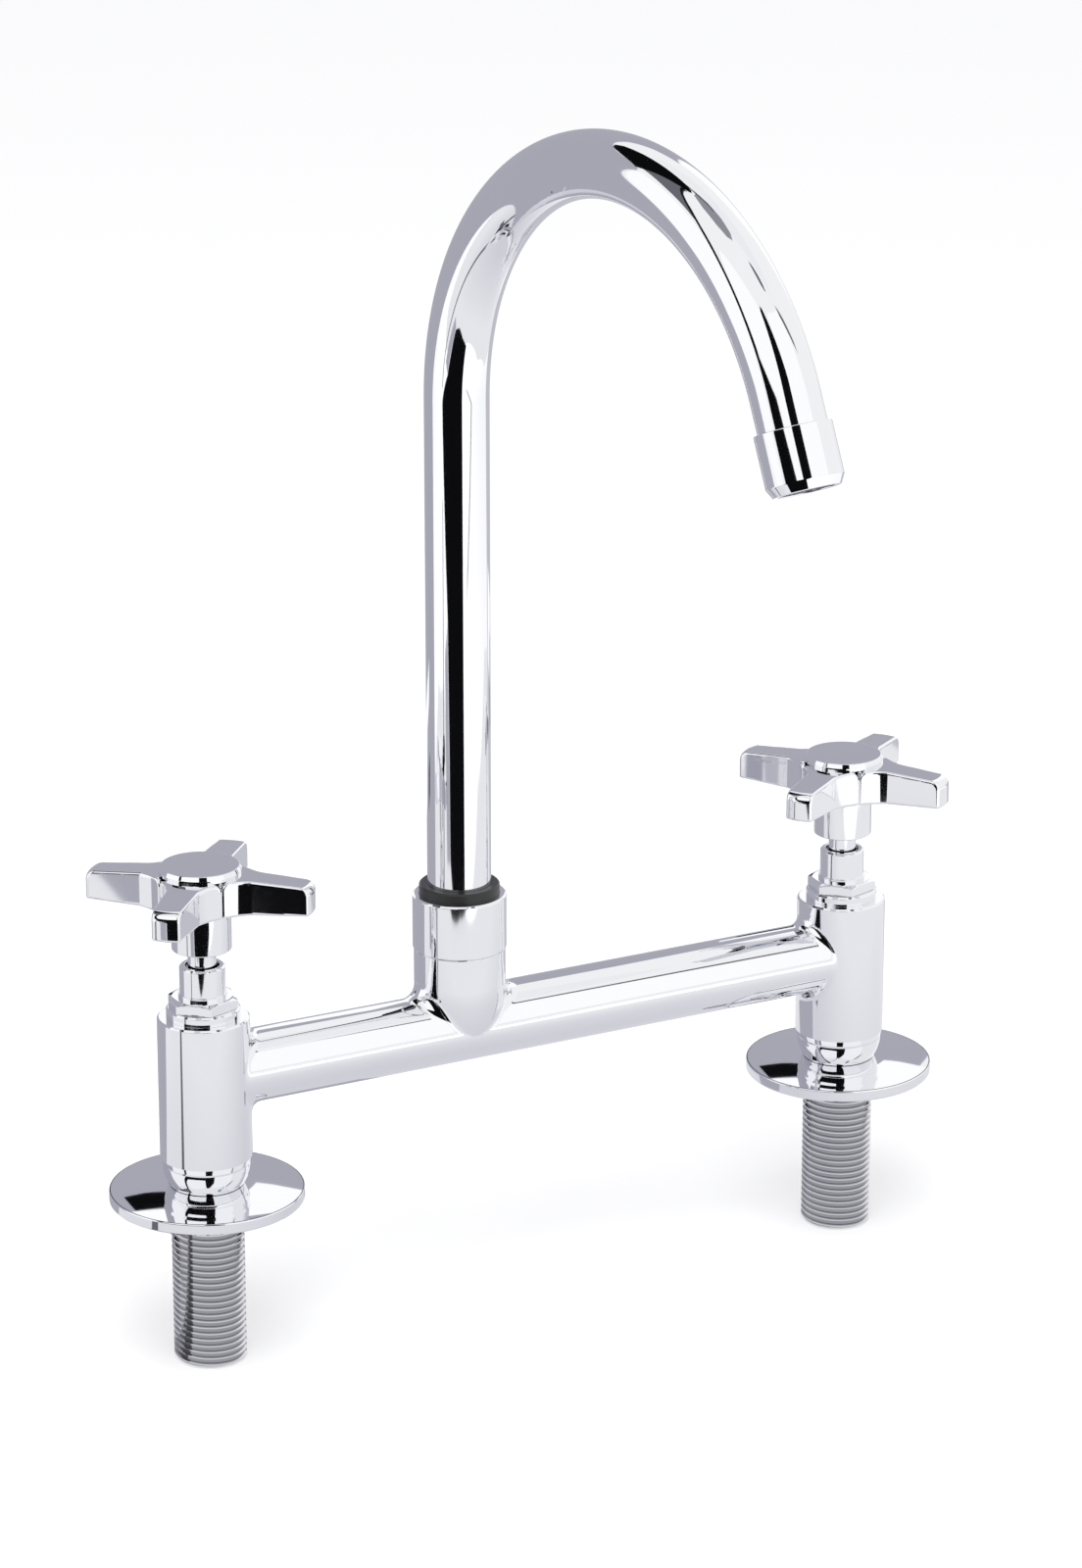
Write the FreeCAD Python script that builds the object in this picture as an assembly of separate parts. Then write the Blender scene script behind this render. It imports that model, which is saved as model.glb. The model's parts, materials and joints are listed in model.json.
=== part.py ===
import FreeCAD, Part
import math
import os

# Deck-mounted bridge mixer tap for a kitchen sink.
# Millimetres. The origin lies midway between the two threaded tails, on the deck plane.
# X runs along the cross bar from the left valve to the right one, the user stands at -Y, and Z is up.
# Two upright valve bodies are joined by a round cross bar, whose riser carries a swivel spout.

# Whole tap
valve_spread = 200.0
bar_height = 36.0
riser_offset = -22.6
spout_turn_deg = 6.6
handle_turns_deg = {"left": 48.0, "right": 34.5}
running_gap = 0.08
seat_gap = 0.04
cut_overrun = 2.0

# Threaded tails, G1/2: 14 threads an inch on 20.955 mm
tail_thread_radius = 10.4775
tail_thread_pitch = 1.814
tail_thread_depth = 1.162
tail_crest_width = 0.34
tail_turns = 24
tail_end_plain = 0.55
tail_end_chamfer = 0.8
tail_neck_step = 0.88
tail_neck_length = 1.9
tail_shoulder_height = 1.2
tail_spigot_wall = 1.8
tail_spigot_length = 8.8
inlet_bore_radius = 6.0
tail_neck_radius = tail_thread_radius - tail_neck_step
tail_spigot_radius = inlet_bore_radius + tail_spigot_wall

# Valve bodies: the upright ends of the bridge casting
body_radius = 12.5
body_wall = 3.5
body_rise = 17.0
body_floor = 3.4
body_rim_chamfer = 0.5
bowl_depth = 7.9
body_foot_chamfer = 0.4
body_foot_chamfer_length = 1.5
seat_drop = 10.0
seat_rim_height = 1.2
seat_rim_width = 1.5
seat_lip = 0.5
seat_thickness = 2.0
body_top = bar_height + body_rise
bowl_radius = body_radius - body_foot_chamfer
bowl_top = body_floor + bowl_depth
chamber_radius = body_radius - body_wall
tail_spigot_top = body_floor + tail_spigot_length
seat_height = bar_height - seat_drop
seat_hole_radius = inlet_bore_radius - seat_lip
seat_rim_radius = seat_hole_radius + seat_rim_width
chamber_floor = seat_height - seat_rim_height

# Spout tube, its guide ring and the split ring that keeps the spout down
tube_radius = 8.75
tube_wall = 1.0
ring_wall = 2.3
ring_flange_width = 0.55
ring_skirt_wall = 1.2
ring_stand = 2.9
ring_edge_chamfer = 0.4
split_ring_side_gap = 0.2
split_ring_thickness = 1.1
split_ring_float = 0.3
split_ring_gap_deg = 24.0
ring_radius = tube_radius + ring_wall
ring_flange_radius = ring_radius + ring_flange_width
ring_skirt_radius = ring_flange_radius - ring_skirt_wall
split_ring_radius = ring_skirt_radius - split_ring_side_gap

# Cross bar and riser, with the spigot for the collar
bar_radius = 10.0
bar_wall = 4.0
bar_fillet = 3.0
bar_fillet_share = 1.2
riser_rise = 23.2
riser_waist_step = 0.1
riser_taper_rise = 14.0
riser_taper_bulge = 0.6
riser_fillet = 3.0
spigot_step = 1.1
spigot_length = 7.3
riser_bore_depth = 20.0

# Spout collar
collar_wall = 1.26
collar_height = 15.7
collar_lip_height = 3.4
collar_edge_chamfer = 0.5
collar_step = 0.3
collar_radius = ring_flange_radius + seat_gap + collar_wall
collar_lip_radius = ring_radius + seat_gap
riser_radius = collar_radius - collar_step
spigot_radius = riser_radius - spigot_step
bar_bore_radius = bar_radius - bar_wall
riser_waist_radius = bar_radius - riser_waist_step
riser_top = bar_height + riser_rise
riser_taper_top = bar_height + riser_taper_rise
spigot_top = riser_top + spigot_length
riser_bore_floor = spigot_top - riser_bore_depth
collar_top = riser_top + collar_height
collar_lip_bottom = collar_top - collar_lip_height
ring_top = collar_top + ring_stand
split_ring_bottom = spigot_top + split_ring_float
split_ring_top = split_ring_bottom + split_ring_thickness
ring_underside = split_ring_top + split_ring_float

# Swan-neck bend of the spout and its turned foot
spout_rise = 147.5
spout_bend_radius = 74.2
spout_bend_deg = 156.75
spout_straight = 23.1
foot_bore_radius = 5.5
foot_plug_length = 8.4
foot_groove_depth = 1.75
foot_groove_width = 2.1
foot_groove_rises = (4.0, 11.0)
tube_bottom = ring_underside + split_ring_float
bend_height = spigot_top + spout_rise
foot_bottom = riser_bore_floor + running_gap
foot_groove_radius = tube_radius - foot_groove_depth
foot_groove_heights = [riser_bore_floor + rise for rise in foot_groove_rises]
split_ring_groove_radius = (foot_bore_radius + tube_radius) / 2

# Aerator at the end of the spout
aerator_wall = 1.05
aerator_chamfer = 1.3
aerator_chamfer_length = 2.4
aerator_tube_depth = 7.2
aerator_seat_step = 0.55
aerator_washer_thickness = 1.6
aerator_washer_width = 1.9
aerator_insert_length = 4.2
aerator_insert_hole_radius = 0.75
aerator_insert_hole_pitch = 2.3
aerator_screen_thickness = 0.8
aerator_screen_hole_radius = 0.55
aerator_screen_hole_pitch = 1.55
aerator_lip_width = 1.0
aerator_lip_thickness = 1.9
aerator_radius = tube_radius + aerator_wall
aerator_bore_radius = tube_radius - aerator_seat_step
aerator_insert_radius = aerator_bore_radius - seat_gap
aerator_washer_top = -aerator_tube_depth
aerator_insert_top = aerator_washer_top - aerator_washer_thickness
aerator_screen_top = aerator_insert_top - aerator_insert_length
aerator_lip_top = aerator_screen_top - aerator_screen_thickness
aerator_length = aerator_lip_thickness - aerator_lip_top

# Cover flanges and the seals under them
flange_radius = 26.5
flange_rim_height = 3.3
flange_dome = 1.2
flange_dome_share = 0.75
flange_edge_round = 0.5
flange_hole_gap = 0.4
flange_lip = 1.0
tail_recess_gap = 2.4
seal_thickness = 1.7
seal_outer_margin = 4.0
seal_inner_margin = 2.5
flange_hole_radius = tail_spigot_radius + flange_hole_gap
flange_crown_radius = flange_hole_radius + flange_lip
flange_crown_height = flange_rim_height + flange_dome
tail_recess_radius = tail_neck_radius + tail_recess_gap
seal_inner_radius = tail_recess_radius + seal_inner_margin
seal_outer_radius = flange_radius - seal_outer_margin

# Valve plugs: each slides in the hexagonal barrel and closes on the seat
plug_lift = 4.5
plug_lift_spare = 0.7
plug_side_gap = 1.6
plug_flange_thickness = 2.5
plug_hex_length = 10.5
plug_web = 1.0
plug_washer_thickness = 3.5
plug_washer_hole_gap = 0.15
plug_screw_radius = 1.95
plug_screw_length = 6.6
plug_screw_head_gap = 1.5
plug_screw_head_height = 1.8
plug_screw_slot_width = 1.0
plug_screw_slot_depth = 0.8
plug_flange_radius = chamber_radius - plug_side_gap
plug_flange_bottom = seat_height + plug_washer_thickness
plug_flange_top = plug_flange_bottom + plug_flange_thickness
plug_hex_top = plug_flange_top + plug_hex_length
plug_screw_top = seat_height + plug_screw_length
plug_bore_floor = plug_screw_top + plug_web

# Headwork bonnets
bonnet_thread_length = 10.0
bonnet_barrel_gap = 1.0
bonnet_barrel_wall = 0.98
bonnet_ring_width = 1.0
bonnet_ring_height = 2.7
bonnet_ring_chamfer = 0.5
bonnet_hex_flats = 17.0
bonnet_hex_height = 3.1
bonnet_hex_turn_deg = -12.0
bonnet_hex_bevel = 0.7
bonnet_step_width = 0.4
bonnet_step_height = 1.0
bonnet_washer_thickness = 1.0
bonnet_washer_width = 0.9
neck_radius = 6.2
neck_length = 7.7
neck_chamfer = 0.5
neck_mouth_depth = 3.2
neck_mouth_gap = 0.16
bonnet_thread_bottom = body_top - bonnet_thread_length
bonnet_barrel_radius = chamber_radius - bonnet_barrel_gap
bonnet_barrel_bottom = plug_flange_top + plug_lift + plug_lift_spare
bonnet_barrel_flats = (bonnet_barrel_radius - bonnet_barrel_wall) * math.sqrt(3)
plug_hex_flats = bonnet_barrel_flats - 2 * running_gap
bonnet_ring_radius = chamber_radius + bonnet_ring_width
bonnet_washer_radius = chamber_radius + bonnet_washer_width
bonnet_washer_bottom = body_top - bonnet_washer_thickness
bonnet_ring_top = body_top + bonnet_ring_height
bonnet_hex_top = bonnet_ring_top + bonnet_hex_height
bonnet_step_radius = neck_radius + bonnet_step_width
bonnet_step_top = bonnet_hex_top + bonnet_step_height
neck_top = bonnet_step_top + neck_length
neck_mouth_floor = neck_top - neck_mouth_depth

# Cross handles
handle_clearance = 4.7
handle_hub_radius = 8.1
handle_hub_length = 11.7
handle_hub_recess_gap = 1.15
handle_hub_recess_depth = 2.8
handle_round_bore_depth = 3.8
handle_arm_height = 9.9
handle_span_radius = 31.3
handle_tip_half_width = 3.9
handle_root_half_width = 4.5
handle_root_radius = 15.5
handle_web_radius = 12.4
handle_tip_top_drop = 1.1
handle_tip_bottom_rise = 0.9
handle_tip_round = 2.4
handle_end_bulge = 0.6
handle_cap_bore_depth = 6.3
handle_seat_thickness = 3.5
handle_screw_radius = 1.95
handle_screw_head_radius = 3.8
handle_screw_head_height = 2.4
handle_screw_length = 9.6
handle_screw_slot_width = 1.1
handle_screw_slot_depth = 1.2
handle_hub_bottom = neck_top + handle_clearance
handle_underside = handle_hub_bottom + handle_hub_length
handle_top = handle_underside + handle_arm_height
handle_cap_bore_floor = handle_top - handle_cap_bore_depth
handle_screw_bottom = handle_cap_bore_floor - handle_screw_length

# Index discs pressed into the tops of the handles
disc_margin = 1.3
disc_bevel = 0.6
disc_overlap = 2.5
disc_height = 2.0
disc_rim_height = 0.8
disc_spigot_wall = 1.0
disc_spigot_length = 3.2
disc_rim_radius = handle_web_radius - disc_margin
disc_top_radius = disc_rim_radius - disc_bevel
handle_cap_bore_radius = disc_rim_radius - disc_overlap

# Valve spindles and the clips on them
spindle_radius = 3.85
spindle_thread_radius = 4.0
spindle_end_gap = 0.3
spindle_shoulder_thickness = 2.4
spindle_shoulder_gap = 0.4
spindle_square_share = 1.4
spindle_groove_depth = 0.85
spindle_groove_width = 1.2
spindle_groove_rises = (3.8, 8.2)
spindle_tap_run_out = 2.9
clip_wall = 1.05
clip_thickness = 0.55
clip_groove_depth = 0.45
clip_gap_deg = 40.0
spindle_bottom = plug_bore_floor + plug_lift + spindle_end_gap
spindle_shoulder_radius = plug_hex_flats / 2 - spindle_shoulder_gap
spindle_shoulder_bottom = plug_hex_top + plug_lift + plug_lift_spare
spindle_shoulder_top = spindle_shoulder_bottom + spindle_shoulder_thickness
bonnet_ceiling = spindle_shoulder_top + running_gap
spindle_groove_radius = spindle_radius - spindle_groove_depth
spindle_groove_heights = [bonnet_ceiling + rise for rise in spindle_groove_rises]
spindle_square_side = spindle_radius * spindle_square_share
spindle_square_bottom = handle_hub_bottom + handle_round_bore_depth
spindle_top = handle_cap_bore_floor - handle_seat_thickness
clip_groove_radius = spindle_radius - clip_groove_depth
clip_inner_radius = clip_groove_radius + seat_gap
clip_outer_radius = clip_inner_radius + clip_wall
clip_bottom = neck_mouth_floor + running_gap
neck_mouth_radius = clip_outer_radius + neck_mouth_gap

valve_places = {"left": -valve_spread / 2, "right": valve_spread / 2}
up = FreeCAD.Vector(0, 0, 1)
along_x = FreeCAD.Vector(1, 0, 0)
origin = FreeCAD.Vector(0, 0, 0)


def write(name, shape):
    """Save one piece under its own name."""
    solids = shape.Solids
    piece = solids[0] if len(solids) == 1 else Part.makeCompound(solids)
    piece.exportStep("parts/" + name + ".step")


def disc(radius, bottom, top):
    """A solid cylinder on the Z axis between two heights."""
    return Part.makeCylinder(radius, top - bottom, FreeCAD.Vector(0, 0, bottom), up)


def tube(outer, inner, bottom, top):
    """A plain ring on the Z axis."""
    return disc(outer, bottom, top).cut(disc(inner, bottom, top))


def turned(outline):
    """A solid turned about the Z axis. A pair is a corner, and two pairs are an arc's middle and end."""
    edges = []
    last = None
    for item in outline + [outline[0]]:
        is_arc = isinstance(item[0], tuple)
        radius, height = item[1] if is_arc else item
        here = FreeCAD.Vector(radius, 0, height)
        if last is not None and is_arc:
            middle = FreeCAD.Vector(item[0][0], 0, item[0][1])
            edges.append(Part.Arc(last, middle, here).toShape())
        elif last is not None and last.distanceToPoint(here) > 0:
            edges.append(Part.LineSegment(last, here).toShape())
        last = here
    return Part.Face(Part.Wire(edges)).revolve(origin, up, 360)


def hexagon(flats, bottom, top):
    """A hexagonal bar on the Z axis, with two of its flats square to X."""
    corner = flats / math.sqrt(3)
    angles = [math.radians(30 + 60 * step) for step in range(7)]
    points = [FreeCAD.Vector(corner * math.cos(a), corner * math.sin(a), bottom) for a in angles]
    return Part.Face(Part.makePolygon(points)).extrude(up * (top - bottom))


def bar_of(width, depth, bottom, top):
    """A rectangular bar centred on the Z axis."""
    corner = FreeCAD.Vector(-width / 2, -depth / 2, bottom)
    return Part.makeBox(width, depth, top - bottom, corner)


def moved(shape, x):
    """The shape shifted along X."""
    copy = shape.copy()
    copy.translate(FreeCAD.Vector(x, 0, 0))
    return copy


def turned_to(shape, degrees):
    """The shape turned about the Z axis."""
    copy = shape.copy()
    copy.rotate(origin, up, degrees)
    return copy


def open_ring(outer, inner, bottom, top, gap_deg):
    """A split ring with its gap on +X."""
    ring = Part.makeCylinder(outer, top - bottom, FreeCAD.Vector(0, 0, bottom), up, 360 - gap_deg)
    ring.rotate(origin, up, gap_deg / 2)
    return ring.cut(disc(inner, bottom, top))


def add_grooves(outline, radius, grooves):
    """Grooves in a turned outline that climbs along one radius: height, width and bottom radius of each."""
    for height, width, groove_radius in grooves:
        outline.append((radius, height))
        outline.append((groove_radius, height))
        outline.append((groove_radius, height + width))
        outline.append((radius, height + width))


def o_rings(groove_radius, bore_radius, groove_width, heights):
    """Rubber rings that fill their grooves and just clear the bore."""
    section = (bore_radius - groove_radius) / 2 - seat_gap / 2
    section = min(section, groove_width / 2 - seat_gap)
    middle = groove_radius + seat_gap / 2 + section
    rings = []
    for height in heights:
        centre = FreeCAD.Vector(0, 0, height + groove_width / 2)
        rings.append(Part.makeTorus(middle, section, centre, up))
    return Part.makeCompound(rings)


def slotted_head(radius, bottom, top, slot_width, slot_bottom, slot_top):
    """A round screw head with a straight slot."""
    slot = bar_of(2 * (radius + cut_overrun), slot_width, slot_bottom, slot_top)
    return disc(radius, bottom, top).cut(slot)


def bowl(gap):
    """The round bottom of a valve body, grown by a gap."""
    radius = bowl_radius + gap
    floor = body_floor - gap
    bottom_radius = math.sqrt(radius ** 2 - (bowl_top - floor) ** 2)
    middle_angle = math.acos(bottom_radius / radius) / 2
    middle = (radius * math.cos(middle_angle), bowl_top - radius * math.sin(middle_angle))
    return turned([(0, floor), (bottom_radius, floor), (middle, (radius, bowl_top)), (0, bowl_top)])


def valve_body_blank():
    """The outside of one valve body: a cylinder with a bevelled foot and a round bottom."""
    upright = turned([
        (0, bowl_top),
        (bowl_radius, bowl_top),
        (body_radius, bowl_top + body_foot_chamfer_length),
        (body_radius, body_top - body_rim_chamfer),
        (body_radius - body_rim_chamfer, body_top),
        (0, body_top),
    ])
    return upright.fuse(bowl(0))


def valve_body_hollow():
    """Tail socket, inlet, raised valve seat and headwork chamber inside one valve body."""
    socket = tail_spigot_radius + seat_gap
    seat_underside = chamber_floor - seat_thickness
    return turned([
        (0, body_floor - cut_overrun),
        (socket, body_floor - cut_overrun),
        (socket, tail_spigot_top),
        (inlet_bore_radius, tail_spigot_top),
        (inlet_bore_radius, seat_underside),
        (seat_hole_radius, seat_underside),
        (seat_hole_radius, seat_height),
        (seat_rim_radius, seat_height),
        (seat_rim_radius, chamber_floor),
        (chamber_radius, chamber_floor),
        (chamber_radius, bonnet_washer_bottom),
        (bonnet_washer_radius, bonnet_washer_bottom),
        (bonnet_washer_radius, body_top + cut_overrun),
        (0, body_top + cut_overrun),
    ])


def riser_blank():
    """The riser: it narrows into the cross bar and ends in the spigot for the collar."""
    taper_middle_radius = (riser_radius + riser_waist_radius) / 2 + riser_taper_bulge
    taper_middle_height = (riser_taper_top + bar_height) / 2
    return turned([
        (0, bar_height),
        (riser_waist_radius, bar_height),
        ((taper_middle_radius, taper_middle_height), (riser_radius, riser_taper_top)),
        (riser_radius, riser_top),
        (spigot_radius, riser_top),
        (spigot_radius, spigot_top),
        (0, spigot_top),
    ])


def riser_hollow():
    """Bore for the spout's foot and the way down into the cross bar."""
    bore = disc(tube_radius + running_gap, riser_bore_floor, spigot_top + cut_overrun)
    return bore.fuse(disc(bar_bore_radius, bar_height, riser_bore_floor + cut_overrun))


def junction_edges(shape, x, reach):
    """The curved edges where the cross bar meets an upright piece."""
    found = []
    for edge in shape.Edges:
        box = edge.BoundBox
        curved = box.ZLength > bar_radius / 2 and box.YLength > bar_radius / 2
        if curved and abs(box.Center.x - x) < reach:
            found.append(edge)
    return found


def bridge_casting():
    """Both valve bodies, the cross bar and the riser, cast in one and bored through."""
    bar_start = FreeCAD.Vector(-valve_spread / 2, 0, bar_height)
    blank = Part.makeCylinder(bar_radius, valve_spread, bar_start, along_x)
    body_fillet = min(bar_fillet, bar_fillet_share * (body_radius - bar_radius))
    for x in valve_places.values():
        blank = blank.fuse(moved(valve_body_blank(), x))
    for x in valve_places.values():
        blank = blank.makeFillet(body_fillet, junction_edges(blank, x, 2 * body_radius))
    blank = blank.fuse(moved(riser_blank(), riser_offset))
    blank = blank.makeFillet(riser_fillet, junction_edges(blank, riser_offset, 2 * riser_radius))
    for x in valve_places.values():
        blank = blank.cut(moved(valve_body_hollow(), x))
    blank = blank.cut(moved(riser_hollow(), riser_offset))
    bore_length = valve_spread - 2 * seat_rim_radius
    bore_start = FreeCAD.Vector(-bore_length / 2, 0, bar_height)
    return blank.cut(Part.makeCylinder(bar_bore_radius, bore_length, bore_start, along_x))


def threaded_tail():
    """A tail whose thread is cut as rings of the true pitch, depth and outer size."""
    root = tail_thread_radius - tail_thread_depth
    flank = (tail_thread_pitch - tail_crest_width) / 2
    outline = [
        (inlet_bore_radius, tail_spigot_top),
        (tail_spigot_radius, tail_spigot_top),
        (tail_spigot_radius, tail_shoulder_height),
        (tail_neck_radius, tail_shoulder_height),
        (tail_neck_radius, -tail_neck_length),
    ]
    for turn in range(tail_turns):
        start = -tail_neck_length - turn * tail_thread_pitch
        outline.append((root, start - flank / 2))
        outline.append((tail_thread_radius, start - flank))
        outline.append((tail_thread_radius, start - flank - tail_crest_width))
    end = -tail_neck_length - tail_turns * tail_thread_pitch
    outline.append((root, end))
    outline.append((root, end - tail_end_plain))
    outline.append((root - tail_end_chamfer, end - tail_end_plain - tail_end_chamfer))
    outline.append((inlet_bore_radius, end - tail_end_plain - tail_end_chamfer))
    return turned(outline)


def cover_flange():
    """A low domed flange with an upright rim, a cup for the valve body and a groove for its seal."""
    dome_middle_height = flange_rim_height + flange_dome_share * flange_dome
    dome_middle = ((flange_radius + flange_crown_radius) / 2, dome_middle_height)
    blank = turned([
        (tail_recess_radius, 0),
        (seal_inner_radius, 0),
        (seal_inner_radius, seal_thickness),
        (seal_outer_radius, seal_thickness),
        (seal_outer_radius, 0),
        (flange_radius - flange_edge_round, 0),
        (flange_radius, flange_edge_round),
        (flange_radius, flange_rim_height),
        (dome_middle, (flange_crown_radius, flange_crown_height)),
        (flange_hole_radius, flange_crown_height),
        (flange_hole_radius, tail_shoulder_height),
        (tail_recess_radius, tail_shoulder_height),
    ])
    return blank.cut(bowl(seat_gap))


def flange_seal():
    """A flat rubber ring in the underside of the flange, level with the deck."""
    return tube(seal_outer_radius - seat_gap, seal_inner_radius + seat_gap, 0, seal_thickness)


def bonnet():
    """The headwork's brass bonnet: thread, barrel, base ring, hexagon and gland neck."""
    thread = chamber_radius - seat_gap
    shell = turned([
        (0, bonnet_barrel_bottom),
        (bonnet_barrel_radius, bonnet_barrel_bottom),
        (bonnet_barrel_radius, bonnet_thread_bottom),
        (thread, bonnet_thread_bottom),
        (thread, body_top),
        (bonnet_ring_radius, body_top),
        (bonnet_ring_radius, bonnet_ring_top - bonnet_ring_chamfer),
        (bonnet_ring_radius - bonnet_ring_chamfer, bonnet_ring_top),
        (bonnet_step_radius, bonnet_ring_top),
        (bonnet_step_radius, bonnet_step_top),
        (neck_radius, bonnet_step_top),
        (neck_radius, neck_top - neck_chamfer),
        (neck_radius - neck_chamfer, neck_top),
        (0, neck_top),
    ])
    corner = bonnet_hex_flats / math.sqrt(3)
    bevel = turned([
        (0, bonnet_ring_top),
        (corner, bonnet_ring_top),
        (corner, bonnet_hex_top - bonnet_hex_bevel),
        (bonnet_hex_flats / 2 - bonnet_hex_bevel / 2, bonnet_hex_top),
        (0, bonnet_hex_top),
    ])
    hexagonal = turned_to(hexagon(bonnet_hex_flats, bonnet_ring_top, bonnet_hex_top), bonnet_hex_turn_deg)
    shell = shell.fuse(hexagonal.common(bevel))
    shell = shell.cut(hexagon(bonnet_barrel_flats, bonnet_barrel_bottom - cut_overrun, bonnet_ceiling))
    shell = shell.cut(disc(spindle_radius + running_gap, bonnet_ceiling - cut_overrun, neck_top))
    return shell.cut(disc(neck_mouth_radius, neck_mouth_floor, neck_top + cut_overrun))


def bonnet_washer():
    """A fibre washer let into the mouth of the valve body, under the bonnet's base ring."""
    return tube(bonnet_washer_radius - seat_gap, chamber_radius + seat_gap, bonnet_washer_bottom, body_top)


def spindle():
    """The turning spindle: thread, thrust shoulder, sealing grooves, clip groove and square drive."""
    outline = [
        (0, spindle_bottom),
        (spindle_thread_radius, spindle_bottom),
        (spindle_thread_radius, spindle_shoulder_bottom),
        (spindle_shoulder_radius, spindle_shoulder_bottom),
        (spindle_shoulder_radius, spindle_shoulder_top),
        (spindle_radius, spindle_shoulder_top),
    ]
    grooves = [(height, spindle_groove_width, spindle_groove_radius) for height in spindle_groove_heights]
    grooves.append((clip_bottom - seat_gap, clip_thickness + 2 * seat_gap, clip_groove_radius))
    add_grooves(outline, spindle_radius, grooves)
    outline.append((spindle_radius, spindle_square_bottom))
    outline.append((0, spindle_square_bottom))
    square = bar_of(spindle_square_side, spindle_square_side, spindle_square_bottom, spindle_top)
    tapped = disc(handle_screw_radius + seat_gap, handle_screw_bottom - spindle_tap_run_out, spindle_top)
    return turned(outline).fuse(square).cut(tapped)


def spindle_clip():
    """A split clip in the spindle's groove, at the bottom of the neck's mouth."""
    clip_top = clip_bottom + clip_thickness
    return open_ring(clip_outer_radius, clip_inner_radius, clip_bottom, clip_top, clip_gap_deg)


def valve_plug():
    """The brass plug that the spindle's thread lifts and the barrel's hexagon keeps from turning."""
    plug = disc(plug_flange_radius, plug_flange_bottom, plug_flange_top)
    plug = plug.fuse(hexagon(plug_hex_flats, plug_flange_top, plug_hex_top))
    plug = plug.cut(disc(spindle_thread_radius + running_gap, plug_bore_floor, plug_hex_top + cut_overrun))
    return plug.cut(disc(plug_screw_radius + seat_gap, plug_flange_bottom, plug_screw_top + seat_gap))


def plug_washer():
    """The rubber washer that closes on the seat."""
    hole = plug_screw_radius + plug_washer_hole_gap
    return tube(plug_flange_radius, hole, seat_height, plug_flange_bottom)


def plug_screw():
    """The cheese-head screw that holds the rubber washer, with its slot underneath."""
    head_radius = seat_hole_radius - plug_screw_head_gap
    head_bottom = seat_height - plug_screw_head_height
    head = slotted_head(head_radius, head_bottom, seat_height, plug_screw_slot_width,
                        head_bottom - cut_overrun, head_bottom + plug_screw_slot_depth)
    return head.fuse(disc(plug_screw_radius, seat_height, plug_screw_top))


def cross_outline():
    """The four-armed plan of the handle, with hollow webs between its arms."""
    web = handle_web_radius * math.cos(math.radians(45))
    corners = [
        (handle_root_radius, -handle_root_half_width),
        (handle_span_radius - handle_end_bulge, -handle_tip_half_width),
        (handle_span_radius, 0),
        (handle_span_radius - handle_end_bulge, handle_tip_half_width),
        (handle_root_radius, handle_root_half_width),
        (web, web),
    ]
    points = []
    for quarter in range(4):
        cosine = math.cos(math.radians(90 * quarter))
        sine = math.sin(math.radians(90 * quarter))
        for x, y in corners:
            points.append(FreeCAD.Vector(x * cosine - y * sine, x * sine + y * cosine, handle_underside))
    edges = []
    for first in range(0, len(points), len(corners)):
        near_root, near_tip, end, far_tip, far_root, hollow = points[first:first + len(corners)]
        next_root = points[(first + len(corners)) % len(points)]
        edges.append(Part.LineSegment(near_root, near_tip).toShape())
        edges.append(Part.Arc(near_tip, end, far_tip).toShape())
        edges.append(Part.LineSegment(far_tip, far_root).toShape())
        edges.append(Part.Arc(far_root, hollow, next_root).toShape())
    return Part.Face(Part.Wire(edges))


def handle():
    """The cross handle: hub skirt, four sloping arms with rounded tips, and a square socket."""
    cross = cross_outline().extrude(up * handle_arm_height)
    tip_top = handle_top - handle_tip_top_drop
    tip_corner = handle_tip_round * (1 - math.cos(math.radians(45)))
    envelope = turned([
        (0, handle_underside),
        (handle_web_radius, handle_underside),
        (handle_span_radius, handle_underside + handle_tip_bottom_rise),
        (handle_span_radius, tip_top - handle_tip_round),
        ((handle_span_radius - tip_corner, tip_top - tip_corner),
         (handle_span_radius - handle_tip_round, tip_top)),
        (handle_web_radius, handle_top),
        (0, handle_top),
    ])
    hub = disc(handle_hub_radius, handle_hub_bottom, handle_underside + cut_overrun)
    body = cross.common(envelope).fuse(hub)
    side = spindle_square_side + 2 * seat_gap
    recess_top = handle_hub_bottom + handle_hub_recess_depth
    body = body.cut(bar_of(side, side, handle_hub_bottom, spindle_top + seat_gap))
    body = body.cut(disc(spindle_radius + seat_gap, handle_hub_bottom, spindle_square_bottom + seat_gap))
    body = body.cut(disc(spindle_radius + handle_hub_recess_gap, handle_hub_bottom, recess_top))
    body = body.cut(disc(handle_screw_radius + seat_gap, spindle_top, handle_cap_bore_floor + cut_overrun))
    return body.cut(disc(handle_cap_bore_radius, handle_cap_bore_floor, handle_top + cut_overrun))


def handle_screw():
    """The screw under the index disc that draws the handle onto its spindle."""
    head_top = handle_cap_bore_floor + handle_screw_head_height
    head = slotted_head(handle_screw_head_radius, handle_cap_bore_floor, head_top, handle_screw_slot_width,
                        head_top - handle_screw_slot_depth, head_top + cut_overrun)
    return head.fuse(disc(handle_screw_radius, handle_screw_bottom, handle_cap_bore_floor))


def index_disc():
    """The bare bevelled disc on top of the handle, with a hollow spigot pressed into it."""
    spigot = handle_cap_bore_radius - seat_gap
    hollow = spigot - disc_spigot_wall
    top = handle_top + disc_height
    return turned([
        (0, handle_top),
        (hollow, handle_top),
        (hollow, handle_top - disc_spigot_length),
        (spigot, handle_top - disc_spigot_length),
        (spigot, handle_top),
        (disc_rim_radius, handle_top),
        (disc_rim_radius, handle_top + disc_rim_height),
        (disc_top_radius, top),
        (0, top),
    ])


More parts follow.
